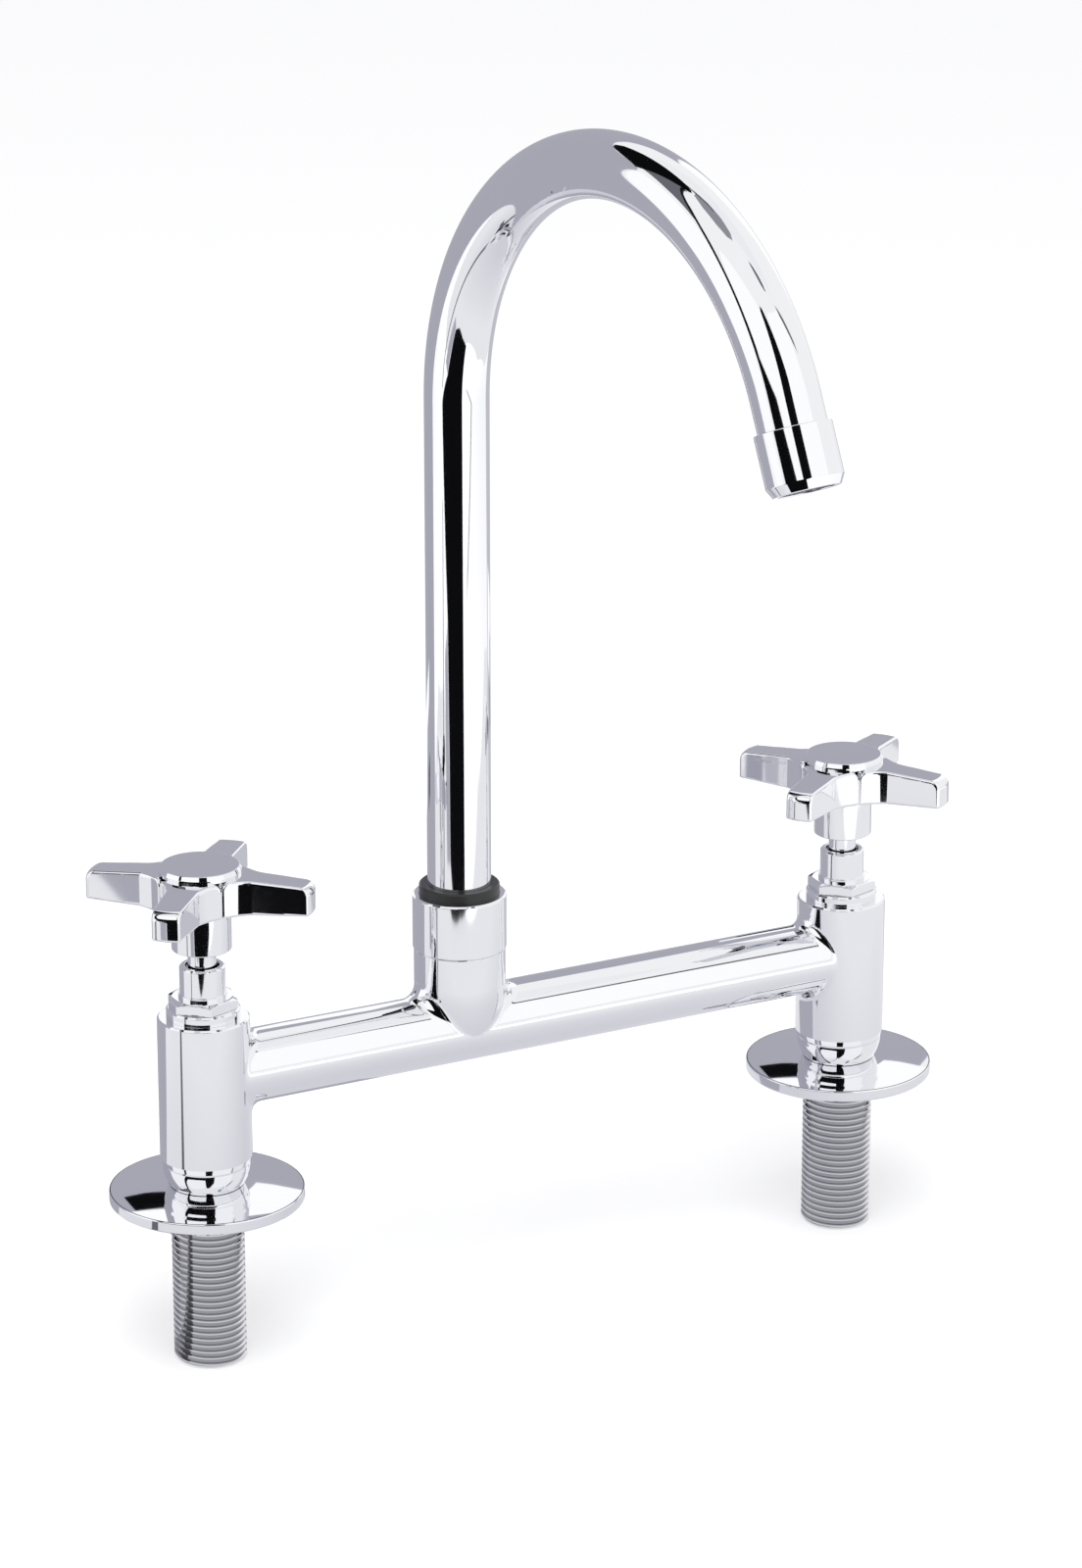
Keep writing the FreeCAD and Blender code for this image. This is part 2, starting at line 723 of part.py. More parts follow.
def spout_collar():
    """The sleeve nut on the riser's spigot, whose inner lip holds the black ring down."""
    thread = spigot_radius + seat_gap
    flange_bore = ring_flange_radius + seat_gap
    return turned([
        (thread, riser_top),
        (collar_radius - collar_edge_chamfer, riser_top),
        (collar_radius, riser_top + collar_edge_chamfer),
        (collar_radius, collar_top - collar_edge_chamfer),
        (collar_radius - collar_edge_chamfer, collar_top),
        (collar_lip_radius, collar_top),
        (collar_lip_radius, collar_lip_bottom),
        (flange_bore, collar_lip_bottom),
        (flange_bore, spigot_top),
        (thread, spigot_top),
    ])


def guide_ring():
    """The black plastic ring that guides the tube and stands proud of the collar."""
    bore = tube_radius + running_gap
    return turned([
        (ring_skirt_radius, spigot_top),
        (ring_flange_radius, spigot_top),
        (ring_flange_radius, collar_lip_bottom),
        (ring_radius, collar_lip_bottom),
        (ring_radius, ring_top - ring_edge_chamfer),
        (ring_radius - ring_edge_chamfer, ring_top),
        (bore, ring_top),
        (bore, ring_underside),
        (ring_skirt_radius, ring_underside),
    ])


def spout_foot():
    """The turned foot brazed into the tube, with two sealing grooves and one for the split ring."""
    plug = tube_radius - tube_wall - seat_gap
    outline = [(foot_bore_radius, foot_bottom), (tube_radius, foot_bottom)]
    grooves = [(height, foot_groove_width, foot_groove_radius) for height in foot_groove_heights]
    split_ring_room = split_ring_thickness + 2 * seat_gap
    grooves.append((split_ring_bottom - seat_gap, split_ring_room, split_ring_groove_radius))
    add_grooves(outline, tube_radius, grooves)
    outline.append((tube_radius, tube_bottom))
    outline.append((plug, tube_bottom))
    outline.append((plug, tube_bottom + foot_plug_length))
    outline.append((foot_bore_radius, tube_bottom + foot_plug_length))
    return turned(outline)


def split_ring():
    """The split brass ring that turns with the spout between the spigot and the guide ring."""
    inner = split_ring_groove_radius + seat_gap
    return open_ring(split_ring_radius, inner, split_ring_bottom, split_ring_top, split_ring_gap_deg)


def on_bend(degrees):
    """A point of the bend's centre line in the XZ plane, and the direction there."""
    angle = math.radians(degrees)
    x = spout_bend_radius * (1 - math.cos(angle))
    z = bend_height + spout_bend_radius * math.sin(angle)
    return FreeCAD.Vector(x, 0, z), FreeCAD.Vector(math.sin(angle), 0, math.cos(angle))


def swept_round(radius):
    """A round bar along the spout's centre line, up to where the tube stops inside the aerator."""
    foot = FreeCAD.Vector(0, 0, tube_bottom)
    start = on_bend(0)[0]
    middle = on_bend(spout_bend_deg / 2)[0]
    end, direction = on_bend(spout_bend_deg)
    tip = end + direction * (spout_straight - aerator_length + aerator_tube_depth)
    path = Part.Wire([
        Part.LineSegment(foot, start).toShape(),
        Part.Arc(start, middle, end).toShape(),
        Part.LineSegment(end, tip).toShape(),
    ])
    section = Part.Wire(Part.makeCircle(radius, foot, up))
    return path.makePipeShell([section], True, False)


def on_riser(shape):
    """A piece of the spout, drawn towards +X, put on the riser and turned to its rest position."""
    return moved(turned_to(shape, spout_turn_deg - 90), riser_offset)


def at_tip(shape):
    """A piece of the aerator, drawn downwards from height zero, put at the end of the spout."""
    end, direction = on_bend(spout_bend_deg)
    copy = shape.copy()
    copy.rotate(origin, FreeCAD.Vector(0, 1, 0), spout_bend_deg - 180)
    copy.translate(end + direction * (spout_straight - aerator_length))
    return on_riser(copy)


def aerator_housing():
    """The chromed sleeve on the end of the tube, bevelled at its outlet."""
    tube_bore = tube_radius + seat_gap
    return turned([
        (tube_bore, 0),
        (aerator_radius, 0),
        (aerator_radius, aerator_chamfer_length - aerator_length),
        (aerator_radius - aerator_chamfer, -aerator_length),
        (aerator_bore_radius - aerator_lip_width, -aerator_length),
        (aerator_bore_radius - aerator_lip_width, aerator_lip_top),
        (aerator_bore_radius, aerator_lip_top),
        (aerator_bore_radius, -aerator_tube_depth),
        (tube_bore, -aerator_tube_depth),
    ])


def aerator_washer():
    """The rubber washer between the tube's end and the aerator's insert."""
    hole = aerator_insert_radius - aerator_washer_width
    return tube(aerator_insert_radius, hole, aerator_insert_top, aerator_washer_top)


def holed_disc(radius, top, bottom, hole_radius, pitch):
    """A disc pierced by a honeycomb of round holes."""
    reach = radius - 2 * hole_radius
    rows = int(reach / pitch) + 1
    holes = []
    for row in range(-rows, rows + 1):
        for column in range(-2 * rows, 2 * rows + 1):
            x = pitch * (column + row / 2)
            y = pitch * row * math.sqrt(3) / 2
            if math.hypot(x, y) < reach:
                hole = disc(hole_radius, bottom, top)
                hole.translate(FreeCAD.Vector(x, y, 0))
                holes.append(hole)
    return disc(radius, bottom, top).cut(Part.makeCompound(holes))


def build_valve(side):
    """Every piece of one valve, from its tail to its index disc."""
    turn = handle_turns_deg[side]
    pieces = {
        "tail": threaded_tail(),
        "flange": cover_flange(),
        "flange_seal": flange_seal(),
        "bonnet": bonnet(),
        "bonnet_washer": bonnet_washer(),
        "spindle": turned_to(spindle(), turn),
        "spindle_o_rings": o_rings(spindle_groove_radius, spindle_radius + running_gap,
                                   spindle_groove_width, spindle_groove_heights),
        "spindle_clip": turned_to(spindle_clip(), turn),
        "valve_plug": valve_plug(),
        "plug_washer": plug_washer(),
        "plug_screw": plug_screw(),
        "handle": turned_to(handle(), turn),
        "handle_screw": turned_to(handle_screw(), turn),
        "index_disc": index_disc(),
    }
    for name, shape in pieces.items():
        write(name + "_" + side, moved(shape, valve_places[side]))


def build_spout():
    """The spout, its foot and seals, the collar on the riser and the aerator."""
    tube_bore = swept_round(tube_radius - tube_wall)
    write("spout_tube", on_riser(swept_round(tube_radius).cut(tube_bore)))
    write("spout_foot", on_riser(spout_foot()))
    write("spout_o_rings", on_riser(o_rings(foot_groove_radius, tube_radius + running_gap,
                                            foot_groove_width, foot_groove_heights)))
    write("spout_split_ring", on_riser(split_ring()))
    write("spout_collar", moved(spout_collar(), riser_offset))
    write("guide_ring", moved(guide_ring(), riser_offset))
    write("aerator_housing", at_tip(aerator_housing()))
    write("aerator_washer", at_tip(aerator_washer()))
    write("aerator_insert", at_tip(holed_disc(aerator_insert_radius, aerator_insert_top, aerator_screen_top,
                                              aerator_insert_hole_radius, aerator_insert_hole_pitch)))
    write("aerator_screen", at_tip(holed_disc(aerator_insert_radius, aerator_screen_top, aerator_lip_top,
                                              aerator_screen_hole_radius, aerator_screen_hole_pitch)))


os.makedirs("parts", exist_ok=True)
write("bridge_casting", bridge_casting())
for side in valve_places:
    build_valve(side)
build_spout()
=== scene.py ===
import itertools
import json
import math

import bmesh
import bpy
import numpy as np
from mathutils import Matrix, Vector


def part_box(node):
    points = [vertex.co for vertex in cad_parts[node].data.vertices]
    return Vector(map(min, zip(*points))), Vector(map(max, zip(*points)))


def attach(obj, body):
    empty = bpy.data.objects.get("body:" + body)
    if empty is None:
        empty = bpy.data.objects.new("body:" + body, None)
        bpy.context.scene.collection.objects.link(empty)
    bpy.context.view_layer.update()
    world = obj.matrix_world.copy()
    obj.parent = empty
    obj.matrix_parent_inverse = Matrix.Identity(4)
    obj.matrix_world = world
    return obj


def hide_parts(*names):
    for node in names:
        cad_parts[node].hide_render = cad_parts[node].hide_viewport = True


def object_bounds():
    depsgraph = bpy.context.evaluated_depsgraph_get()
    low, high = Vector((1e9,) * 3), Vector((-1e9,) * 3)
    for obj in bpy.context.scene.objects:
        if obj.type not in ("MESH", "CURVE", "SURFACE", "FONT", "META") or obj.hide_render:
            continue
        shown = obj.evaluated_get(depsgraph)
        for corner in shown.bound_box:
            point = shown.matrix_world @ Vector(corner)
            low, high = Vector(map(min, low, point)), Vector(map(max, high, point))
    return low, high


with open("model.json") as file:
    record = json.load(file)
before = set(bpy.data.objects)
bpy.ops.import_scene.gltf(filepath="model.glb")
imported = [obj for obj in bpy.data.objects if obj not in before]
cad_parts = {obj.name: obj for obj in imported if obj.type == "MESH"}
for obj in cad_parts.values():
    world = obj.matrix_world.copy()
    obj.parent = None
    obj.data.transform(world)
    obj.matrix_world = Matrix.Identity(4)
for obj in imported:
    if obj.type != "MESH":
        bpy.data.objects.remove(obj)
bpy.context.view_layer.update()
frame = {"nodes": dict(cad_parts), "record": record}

# A chromed bridge mixer tap for a kitchen sink, put together from the deck up.
# Metres. X runs along the cross bar, the user stands at -Y, and Z is up from the deck.


# The bridge casting: two valve bodies, the cross bar and the riser are one brass casting.
# It is turned where it is round, its joins are linished by hand into soft hollows, and the
# whole is polished and chromed. Tails, bonnets and spout collar screw into it.
mm = 0.001
body_radius = 12.5 * mm
body_top = 53.0 * mm
body_rim_chamfer = 0.5 * mm
body_floor = 3.4 * mm
bowl_radius = 12.1 * mm
bowl_top = 11.3 * mm
foot_edge_height = 12.8 * mm
tail_socket_radius = 7.84 * mm
tail_socket_top = 12.2 * mm
inlet_radius = 6.0 * mm
inlet_end = 19.0 * mm
mouth_radius = 9.9 * mm
mouth_depth = 1.0 * mm
bar_radius = 10.0 * mm
bar_height = 36.0 * mm
riser_radius = 12.6 * mm
riser_waist = 2.7 * mm
riser_taper = 14.0 * mm
riser_top = 59.2 * mm
spigot_radius = 11.5 * mm
spigot_top = 66.5 * mm
spout_bore_radius = 8.83 * mm
body_fillet = 3.0 * mm
riser_fillet = 4.6 * mm
lower_cut = 20.0 * mm
upper_cut = 50.0 * mm
casting_cell = 0.7 * mm
chrome_tone = (0.880, 0.885, 0.905, 1.0)
chrome_deep_tone = (0.855, 0.860, 0.885, 1.0)


class Wire:
    """A socket in a node tree. Sums of wires put in Math nodes, and add puts in any other node."""

    def __init__(self, tree, socket=None):
        self.tree = tree
        self.socket = socket

    def add(self, kind, settings=None, inputs=None, output=0):
        node = self.tree.nodes.new(kind)
        for name, value in (settings or {}).items():
            if name == "stops":
                ramp = node.color_ramp
                for place, colour in value[1:-1]:
                    ramp.elements.new(place).color = colour
                ends = (ramp.elements[0], ramp.elements[-1])
                for element, (place, colour) in zip(ends, (value[0], value[-1])):
                    element.position = place
                    element.color = colour
            else:
                setattr(node, name, value)
        for name, value in (inputs or {}).items():
            for item in value if isinstance(value, list) else [value]:
                if isinstance(item, Wire):
                    self.tree.links.new(item.socket, node.inputs[name])
                else:
                    node.inputs[name].default_value = item
        return Wire(self.tree, node.outputs[output]) if len(node.outputs) else None

    def sum(self, operation, first, second):
        return self.add("ShaderNodeMath", {"operation": operation}, {0: first, 1: second})

    def __add__(self, other):
        return self.sum("ADD", self, other)

    def __sub__(self, other):
        return self.sum("SUBTRACT", self, other)

    def __rsub__(self, other):
        return self.sum("SUBTRACT", other, self)

    def __mul__(self, other):
        return self.sum("MULTIPLY", self, other)

    __radd__ = __add__
    __rmul__ = __mul__


def new_finish(name):
    """An empty material and a wire into its nodes."""
    material = bpy.data.materials.new(name)
    material.use_nodes = True
    material.node_tree.nodes.clear()
    return material, Wire(material.node_tree)


def blend(wire, share, low, high):
    """A colour between two others."""
    return wire.add("ShaderNodeMix", {"data_type": "RGBA"}, {0: share, 6: low, 7: high}, 2)


def polished_metal(name, tone, deep_tone, rough, rough_spread, ripple):
    """Polished metal: its sheen drifts slowly, with fine rubbing marks and a faint ripple."""
    material, wire = new_finish(name)
    place = wire.add("ShaderNodeTexCoord", output="Object")
    drift = wire.add("ShaderNodeTexNoise", None, {"Vector": place, "Scale": 45.0, "Detail": 2.0})
    marks = wire.add("ShaderNodeTexNoise", None, {"Vector": place, "Scale": 900.0, "Detail": 4.0})
    sheen = rough + (drift * 0.7 + marks * 0.3) * rough_spread
    swell = wire.add("ShaderNodeTexNoise", None, {"Vector": place, "Scale": 70.0, "Detail": 1.0})
    bump = wire.add("ShaderNodeBump", None, {"Strength": 1.0, "Distance": ripple, "Height": swell})
    surface = wire.add("ShaderNodeBsdfPrincipled", None, {
        "Base Color": blend(wire, drift, tone, deep_tone),
        "Metallic": 1.0,
        "Roughness": sheen,
        "Normal": bump,
    })
    wire.add("ShaderNodeOutputMaterial", None, {"Surface": surface})
    return material


def bands_of(corners):
    """Stations along a turned outline, and the bands between them with their outward normals.

    A corner is (radius, height) or (radius, height, rounding). The outline runs up the outside.
    It closes on itself, unless it starts and ends on the axis."""
    arc_step = math.radians(11)
    same_place = 1e-8
    ring = corners[0][0] > 0
    count = len(corners)
    places = [np.array(corner[:2]) for corner in corners]
    ways = []
    for index in range(count if ring else count - 1):
        way = places[(index + 1) % count] - places[index]
        ways.append(way / np.hypot(*way))
    stations = []
    bands = []

    def step_to(place, normal, band_normal):
        if stations and np.hypot(*(place - stations[-1])) < same_place:
            return
        stations.append(place)
        if len(stations) > 1:
            bands.append((len(stations) - 2, band_normal, len(stations) - 1, normal))

    for index, corner in enumerate(corners):
        flat = None
        if ring or index > 0:
            before = ways[index - 1]
            flat = np.array((before[1], -before[0]))
        rounding = corner[2] if len(corner) > 2 else 0
        if not rounding:
            step_to(places[index], flat, flat)
            continue
        after = ways[index % len(ways)]
        turn = math.atan2(before[0] * after[1] - before[1] * after[0], before @ after)
        side = math.copysign(rounding, turn)
        start = places[index] - before * rounding * abs(math.tan(turn / 2))
        centre = start - flat * side
        steps = max(2, math.ceil(abs(turn) / arc_step))
        last = flat
        for step in range(steps + 1):
            angle = turn * step / steps
            normal = np.array((flat[0] * math.cos(angle) - flat[1] * math.sin(angle),
                               flat[0] * math.sin(angle) + flat[1] * math.cos(angle)))
            step_to(centre + normal * side, normal, last)
            last = normal
    if ring:
        closing = np.array((ways[-1][1], -ways[-1][0]))
        bands.append((len(stations) - 1, closing, 0, closing))
    return stations, bands


def turned(corners, sides=160):
    """A shell turned about the Z axis: its points, faces and the normal at each face corner."""
    on_axis = 1e-9
    stations, bands = bands_of(corners)
    angles = np.linspace(0, 2 * math.pi, sides, endpoint=False)
    cosines = np.cos(angles)
    sines = np.sin(angles)
    points = []
    starts = []
    for radius, height in stations:
        starts.append(len(points))
        if radius < on_axis:
            points.append((0, 0, height))
        else:
            points.extend(zip(radius * cosines, radius * sines, itertools.repeat(height)))
    faces = []
    normals = []
    for low, low_normal, high, high_normal in bands:
        low_spins = stations[low][0] >= on_axis
        high_spins = stations[high][0] >= on_axis
        for side in range(sides):
            after = (side + 1) % sides
            face = [(starts[low] + side * low_spins, side, low_normal)]
            if low_spins:
                face.append((starts[low] + after, after, low_normal))
            if high_spins:
                face.append((starts[high] + after, after, high_normal))
            face.append((starts[high] + side * high_spins, side, high_normal))
            faces.append([item[0] for item in face])
            for _, spoke, normal in face:
                normals.append((normal[0] * cosines[spoke], normal[0] * sines[spoke], normal[1]))
    return np.array(points), faces, np.array(normals)


def placed(shell, matrix):
    """A shell moved and turned by a matrix."""
    points, faces, normals = shell
    turn = np.array(matrix.to_3x3())
    return points @ turn.T + np.array(matrix.translation), faces, normals @ turn.T


def make_piece(name, shells, material):
    """One object from its shells, each with its own exact normals."""
    points = []
    faces = []
    count = 0
    for shell_points, shell_faces, _ in shells:
        points.append(shell_points)
        faces.extend([[index + count for index in face] for face in shell_faces])
        count += len(shell_points)
    mesh = bpy.data.meshes.new(name)
    mesh.from_pydata(np.concatenate(points), [], faces)
    mesh.shade_smooth()
    mesh.normals_split_custom_set(np.concatenate([shell[2] for shell in shells]))
    mesh.materials.append(material)
    piece = bpy.data.objects.new(name, mesh)
    bpy.context.scene.collection.objects.link(piece)
    return piece


def slope_of(field, points, step):
    """The field's direction of steepest climb at each point, and its steepness."""
    slope = np.empty_like(points)
    for axis in range(3):
        shift = np.zeros(3)
        shift[axis] = step
        ahead = field(*(points + shift).T)
        slope[:, axis] = (ahead - field(*(points - shift).T)) / (2 * step)
    steepness = np.linalg.norm(slope, axis=1)
    return slope / steepness[:, None], steepness


def skin(field, low, high, cell):
    """A fine quad mesh where a field is zero, with points and normals that follow the field."""
    counts = [math.ceil((end - start) / cell) for start, end in zip(low, high)]
    axes = [start + cell * np.arange(number + 1) for start, number in zip(low, counts)]
    shape = tuple(number + 1 for number in counts)
    values = np.broadcast_to(field(*np.meshgrid(*axes, indexing="ij", sparse=True)), shape)
    inside = values < 0
    offsets = list(itertools.product((0, 1), repeat=3))
    windows = [tuple(slice(o, o + number) for o, number in zip(offset, counts)) for offset in offsets]
    filled = sum(inside[window].astype(np.int8) for window in windows)
    mixed = (filled > 0) & (filled < len(offsets))
    cells = np.argwhere(mixed)
    index = np.full(counts, -1)
    index[mixed] = np.arange(len(cells))
    totals = np.zeros((len(cells), 3))
    crossings = np.zeros(len(cells))
    for first, second in itertools.combinations(offsets, 2):
        if sum(abs(a - b) for a, b in zip(first, second)) != 1:
            continue
        one = values[tuple((cells + first).T)]
        other = values[tuple((cells + second).T)]
        crossed = (one < 0) != (other < 0)
        share = np.where(crossed, one / np.where(crossed, one - other, 1), 0)
        spot = np.array(first) + share[:, None] * (np.array(second) - np.array(first))
        totals += spot * crossed[:, None]
        crossings += crossed
    points = np.array(low) + cell * (cells + totals / crossings[:, None])
    quads = []
    for axis in range(3):
        across, up = (axis + 1) % 3, (axis + 2) % 3
        behind = inside.take(range(counts[axis]), axis)
        change = behind != inside.take(range(1, counts[axis] + 1), axis)
        spots = np.argwhere(change)
        for side in (across, up):
            spots = spots[(spots[:, side] > 0) & (spots[:, side] < counts[side])]
        around = []
        for step_across, step_up in ((-1, -1), (0, -1), (0, 0), (-1, 0)):
            neighbour = spots.copy()
            neighbour[:, across] += step_across
            neighbour[:, up] += step_up
            around.append(index[tuple(neighbour.T)])
        ring = np.stack(around, 1)
        leaving = behind[tuple(spots.T)]
        quads.append(np.where(leaving[:, None], ring, ring[:, ::-1]))
    quads = np.concatenate(quads)
    slope_step = cell / 20
    for _ in range(3):
        totals = np.zeros_like(points)
        uses = np.zeros(len(points))
        for corner in range(4):
            np.add.at(totals, quads[:, corner], points[quads[:, corner - 1]] + points[quads[:, corner - 3]])
            np.add.at(uses, quads[:, corner], 2)
        used = uses > 0
        points[used] = (points[used] + totals[used] / uses[used][:, None]) / 2
        for _ in range(3):
            way, steepness = slope_of(field, points, slope_step)
            points -= way * (field(*points.T) / steepness)[:, None]
    way = slope_of(field, points, slope_step)[0]
    return points, quads.tolist(), way[quads.ravel()]


def hollow_join(first, second, likeness, rounding):
    """Two solids as one, with a fillet that dies away where their skins already run alike."""
    radius = rounding * np.clip(1 - likeness, 0, 1)
    hollow = np.hypot(np.maximum(radius - first, 0), np.maximum(radius - second, 0))
    return np.maximum(radius, np.minimum(first, second)) - hollow


def middle_of(node):
    """The middle of a node's box."""
    low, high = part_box(node)
    return (low + high) / 2


valve_places = {side: middle_of("tail_" + side) for side in ("left", "right")}
at_valve = {side: Matrix.Translation((place.x, 0, 0)) for side, place in valve_places.items()}
riser_place = middle_of("spout_collar")
at_riser = Matrix.Translation((riser_place.x, 0, 0))


def casting_field(x, y, z):
    """Below zero inside the blended middle of the casting."""
    to_bar = np.hypot(y, z - bar_height)
    bar = np.maximum(to_bar - bar_radius, abs(x) - valve_places["right"].x)
    climb = np.clip((z - bar_height) / riser_taper, 0, 1)
    to_riser = np.hypot(x - riser_place.x, y)
    riser = np.maximum(to_riser - riser_radius + riser_waist * (1 - climb) ** 2, bar_height - z)
    tiny = 0.001 * mm
    whole = hollow_join(bar, riser, y * y / (to_bar * to_riser + tiny ** 2), riser_fillet)
    for place in valve_places.values():
        to_body = np.hypot(x - place.x, y)
        likeness = y * y / (to_bar * to_body + tiny ** 2)
        whole = hollow_join(whole, to_body - body_radius, likeness, body_fillet)
    return whole


def trimmed(shell, field, low, high):
    """A skin cut off level at two heights and closed there."""
    points, faces, _ = shell
    mesh = bpy.data.meshes.new("trimmed")
    mesh.from_pydata(points, [], faces)
    work = bmesh.new()
    work.from_mesh(mesh)
    bpy.data.meshes.remove(mesh)
    for height, direction in ((low, -1), (high, 1)):
        everything = work.verts[:] + work.edges[:] + work.faces[:]
        bmesh.ops.bisect_plane(work, geom=everything, plane_co=(0, 0, height),
                               plane_no=(0, 0, direction), clear_outer=True)
    open_edges = [edge for edge in work.edges if edge.is_boundary]
    lids = bmesh.ops.holes_fill(work, edges=open_edges, sides=0)["faces"]
    for lid in lids:
        lid.normal_update()
        above = lid.calc_center_median().z > (low + high) / 2
        if (lid.normal.z > 0) != above:
            lid.normal_flip()
    work.verts.index_update()
    work.faces.index_update()
    lid_numbers = {lid.index for lid in lids}
    points = np.array([vertex.co[:] for vertex in work.verts])
    way = slope_of(field, points, casting_cell / 20)[0]
    faces = []
    normals = []
    for face in work.faces:
        corners = [vertex.index for vertex in face.verts]
        faces.append(corners)
        is_lid = face.index in lid_numbers
        normals.extend([face.normal[:]] * len(corners) if is_lid else way[corners])
    work.free()
    return points, faces, np.array(normals)


chrome = polished_metal("Chrome plate", chrome_tone, chrome_deep_tone, 0.025, 0.03, 0.004 * mm)
margin = 2 * mm
reach = valve_places["right"].x + body_radius + margin
half_depth = riser_radius + margin
middle = skin(casting_field, (-reach, -half_depth, lower_cut - margin),
              (reach, half_depth, upper_cut + margin), casting_cell)
casting_shells = [trimmed(middle, casting_field, lower_cut, upper_cut)]
bowl_lean = math.asin((bowl_top - body_floor) / bowl_radius)
foot_outline = [
    (0, inlet_end),
    (inlet_radius, inlet_end),
    (inlet_radius, tail_socket_top),
    (tail_socket_radius, tail_socket_top),
    (tail_socket_radius, body_floor),
    (bowl_radius * math.cos(bowl_lean), body_floor),
    (bowl_radius, bowl_top - bowl_radius * math.tan(bowl_lean / 2), bowl_radius),
    (bowl_radius, bowl_top),
    (body_radius, foot_edge_height),
    (body_radius, lower_cut),
    (0, lower_cut),
]
rim_outline = [
    (0, upper_cut),
    (body_radius, upper_cut),
    (body_radius, body_top - body_rim_chamfer, 0.15 * mm),
    (body_radius - body_rim_chamfer, body_top, 0.15 * mm),
    (mouth_radius, body_top),
    (mouth_radius, body_top - mouth_depth),
    (0, body_top - mouth_depth),
]
riser_outline = [
    (spout_bore_radius, upper_cut),
    (riser_radius, upper_cut),
    (riser_radius, riser_top, 0.1 * mm),
    (spigot_radius, riser_top),
    (spigot_radius, spigot_top),
    (spout_bore_radius, spigot_top),
]
for spot in at_valve.values():
    casting_shells.append(placed(turned(foot_outline), spot))
    casting_shells.append(placed(turned(rim_outline), spot))
casting_shells.append(placed(turned(riser_outline), at_riser))
casting = make_piece("polished_casting", casting_shells, chrome)
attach(casting, "base")
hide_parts("bridge_casting")


# The threaded tails: nickelled brass tubes, screwed up into the valve bodies. Each passes
# through the sink's deck, where a backnut below draws the tap down. The thread is taken
# to be G1/2.
thread_radius = 10.4775 * mm
thread_pitch = 1.814 * mm
thread_depth = 1.162 * mm
thread_crest = 0.34 * mm
thread_foot_share = 0.93
thread_height_share = 1.04
thread_turns = 24.0
thread_start = -1.9 * mm
tail_root_radius = thread_radius - thread_depth
tail_neck_radius = 9.5975 * mm
tail_shoulder = 1.2 * mm
tail_spigot_radius = 7.8 * mm
tail_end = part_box("tail_left")[0].z
tail_end_chamfer = 0.8 * mm
turn_steps = 96
nickel_tone = (0.80, 0.80, 0.80, 1.0)
nickel_deep_tone = (0.74, 0.74, 0.745, 1.0)
# The dark that is painted into the thread's roots as shade.
painted_groove_shade = (0.40, 0.40, 0.42, 1.0)


def new_tree(name, inputs):
    """An empty Geometry Nodes tree: its start wire, its named input wires and its output node."""
    tree = bpy.data.node_groups.new(name, "GeometryNodeTree")
    tree.interface.new_socket(name="Geometry", in_out="INPUT", socket_type="NodeSocketGeometry")
    for label, kind in inputs.items():
        tree.interface.new_socket(name=label, in_out="INPUT", socket_type="NodeSocket" + kind)
    tree.interface.new_socket(name="Geometry", in_out="OUTPUT", socket_type="NodeSocketGeometry")
    start = tree.nodes.new("NodeGroupInput")
    return tree, {socket.name: Wire(tree, socket) for socket in start.outputs if socket.name}


def end_tree(tree, geometry, material):
    """Close a tree with real geometry and its material."""
    real = geometry.add("GeometryNodeRealizeInstances", None, {"Geometry": geometry})
    coated = real.add("GeometryNodeSetMaterial", None, {"Geometry": real, "Material": material})
    coated.add("NodeGroupOutput", None, {0: coated})


def grow(name, start, tree, values):
    """Run a tree on a mesh or a curve, and keep the plain mesh that it makes."""
    seed = bpy.data.objects.new(name, start)
    bpy.context.scene.collection.objects.link(seed)
    modifier = seed.modifiers.new(name, "NODES")
    modifier.node_group = tree
    for item in tree.interface.items_tree:
        if item.in_out == "INPUT" and item.name in values:
            modifier[item.identifier] = values[item.name]
    bpy.context.view_layer.update()
    mesh = bpy.data.meshes.new_from_object(seed.evaluated_get(bpy.context.evaluated_depsgraph_get()))
    seed.modifiers.remove(modifier)
    bpy.data.objects.remove(seed)
    mesh.name = name
    piece = bpy.data.objects.new(name, mesh)
    bpy.context.scene.collection.objects.link(piece)
    return piece


thread_tree, thread_wires = new_tree("Thread on a turned core", {
    "Root radius": "Float", "Depth": "Float", "Pitch": "Float", "Crest": "Float", "Turns": "Float",
    "Start": "Float", "Steps": "Int", "Finish": "Material"})
core = thread_wires["Geometry"]
helix = core.add("GeometryNodeCurveSpiral", None, {
    "Resolution": thread_wires["Steps"],
    "Rotations": thread_wires["Turns"],
    "Start Radius": thread_wires["Root radius"],
    "End Radius": thread_wires["Root radius"],
    "Height": thread_wires["Pitch"] * thread_wires["Turns"]})
upright = core.add("GeometryNodeSetCurveNormal", {"mode": "Z_UP"}, {"Curve": helix})
ridge = core.add("GeometryNodeCurvePrimitiveQuadrilateral", {"mode": "TRAPEZOID"}, {
    "Bottom Width": thread_wires["Pitch"] * thread_foot_share,
    "Top Width": thread_wires["Crest"],
    "Height": thread_wires["Depth"] * thread_height_share,
    "Offset": 0.0})
turned_ridge = core.add("GeometryNodeTransform", None, {
    "Geometry": ridge,
    "Rotation": (0, 0, math.pi / 2)})
swept = core.add("GeometryNodeCurveToMesh", None, {
    "Curve": upright, "Profile Curve": turned_ridge, "Fill Caps": True})
fall = thread_wires["Start"] - thread_wires["Pitch"] * thread_wires["Turns"]
lift = core.add("ShaderNodeCombineXYZ", None, {"Z": fall})
hung = core.add("GeometryNodeTransform", None, {"Geometry": swept, "Translation": lift})
both = core.add("GeometryNodeJoinGeometry", None, {"Geometry": [core, hung]})
end_tree(thread_tree, both, thread_wires["Finish"])
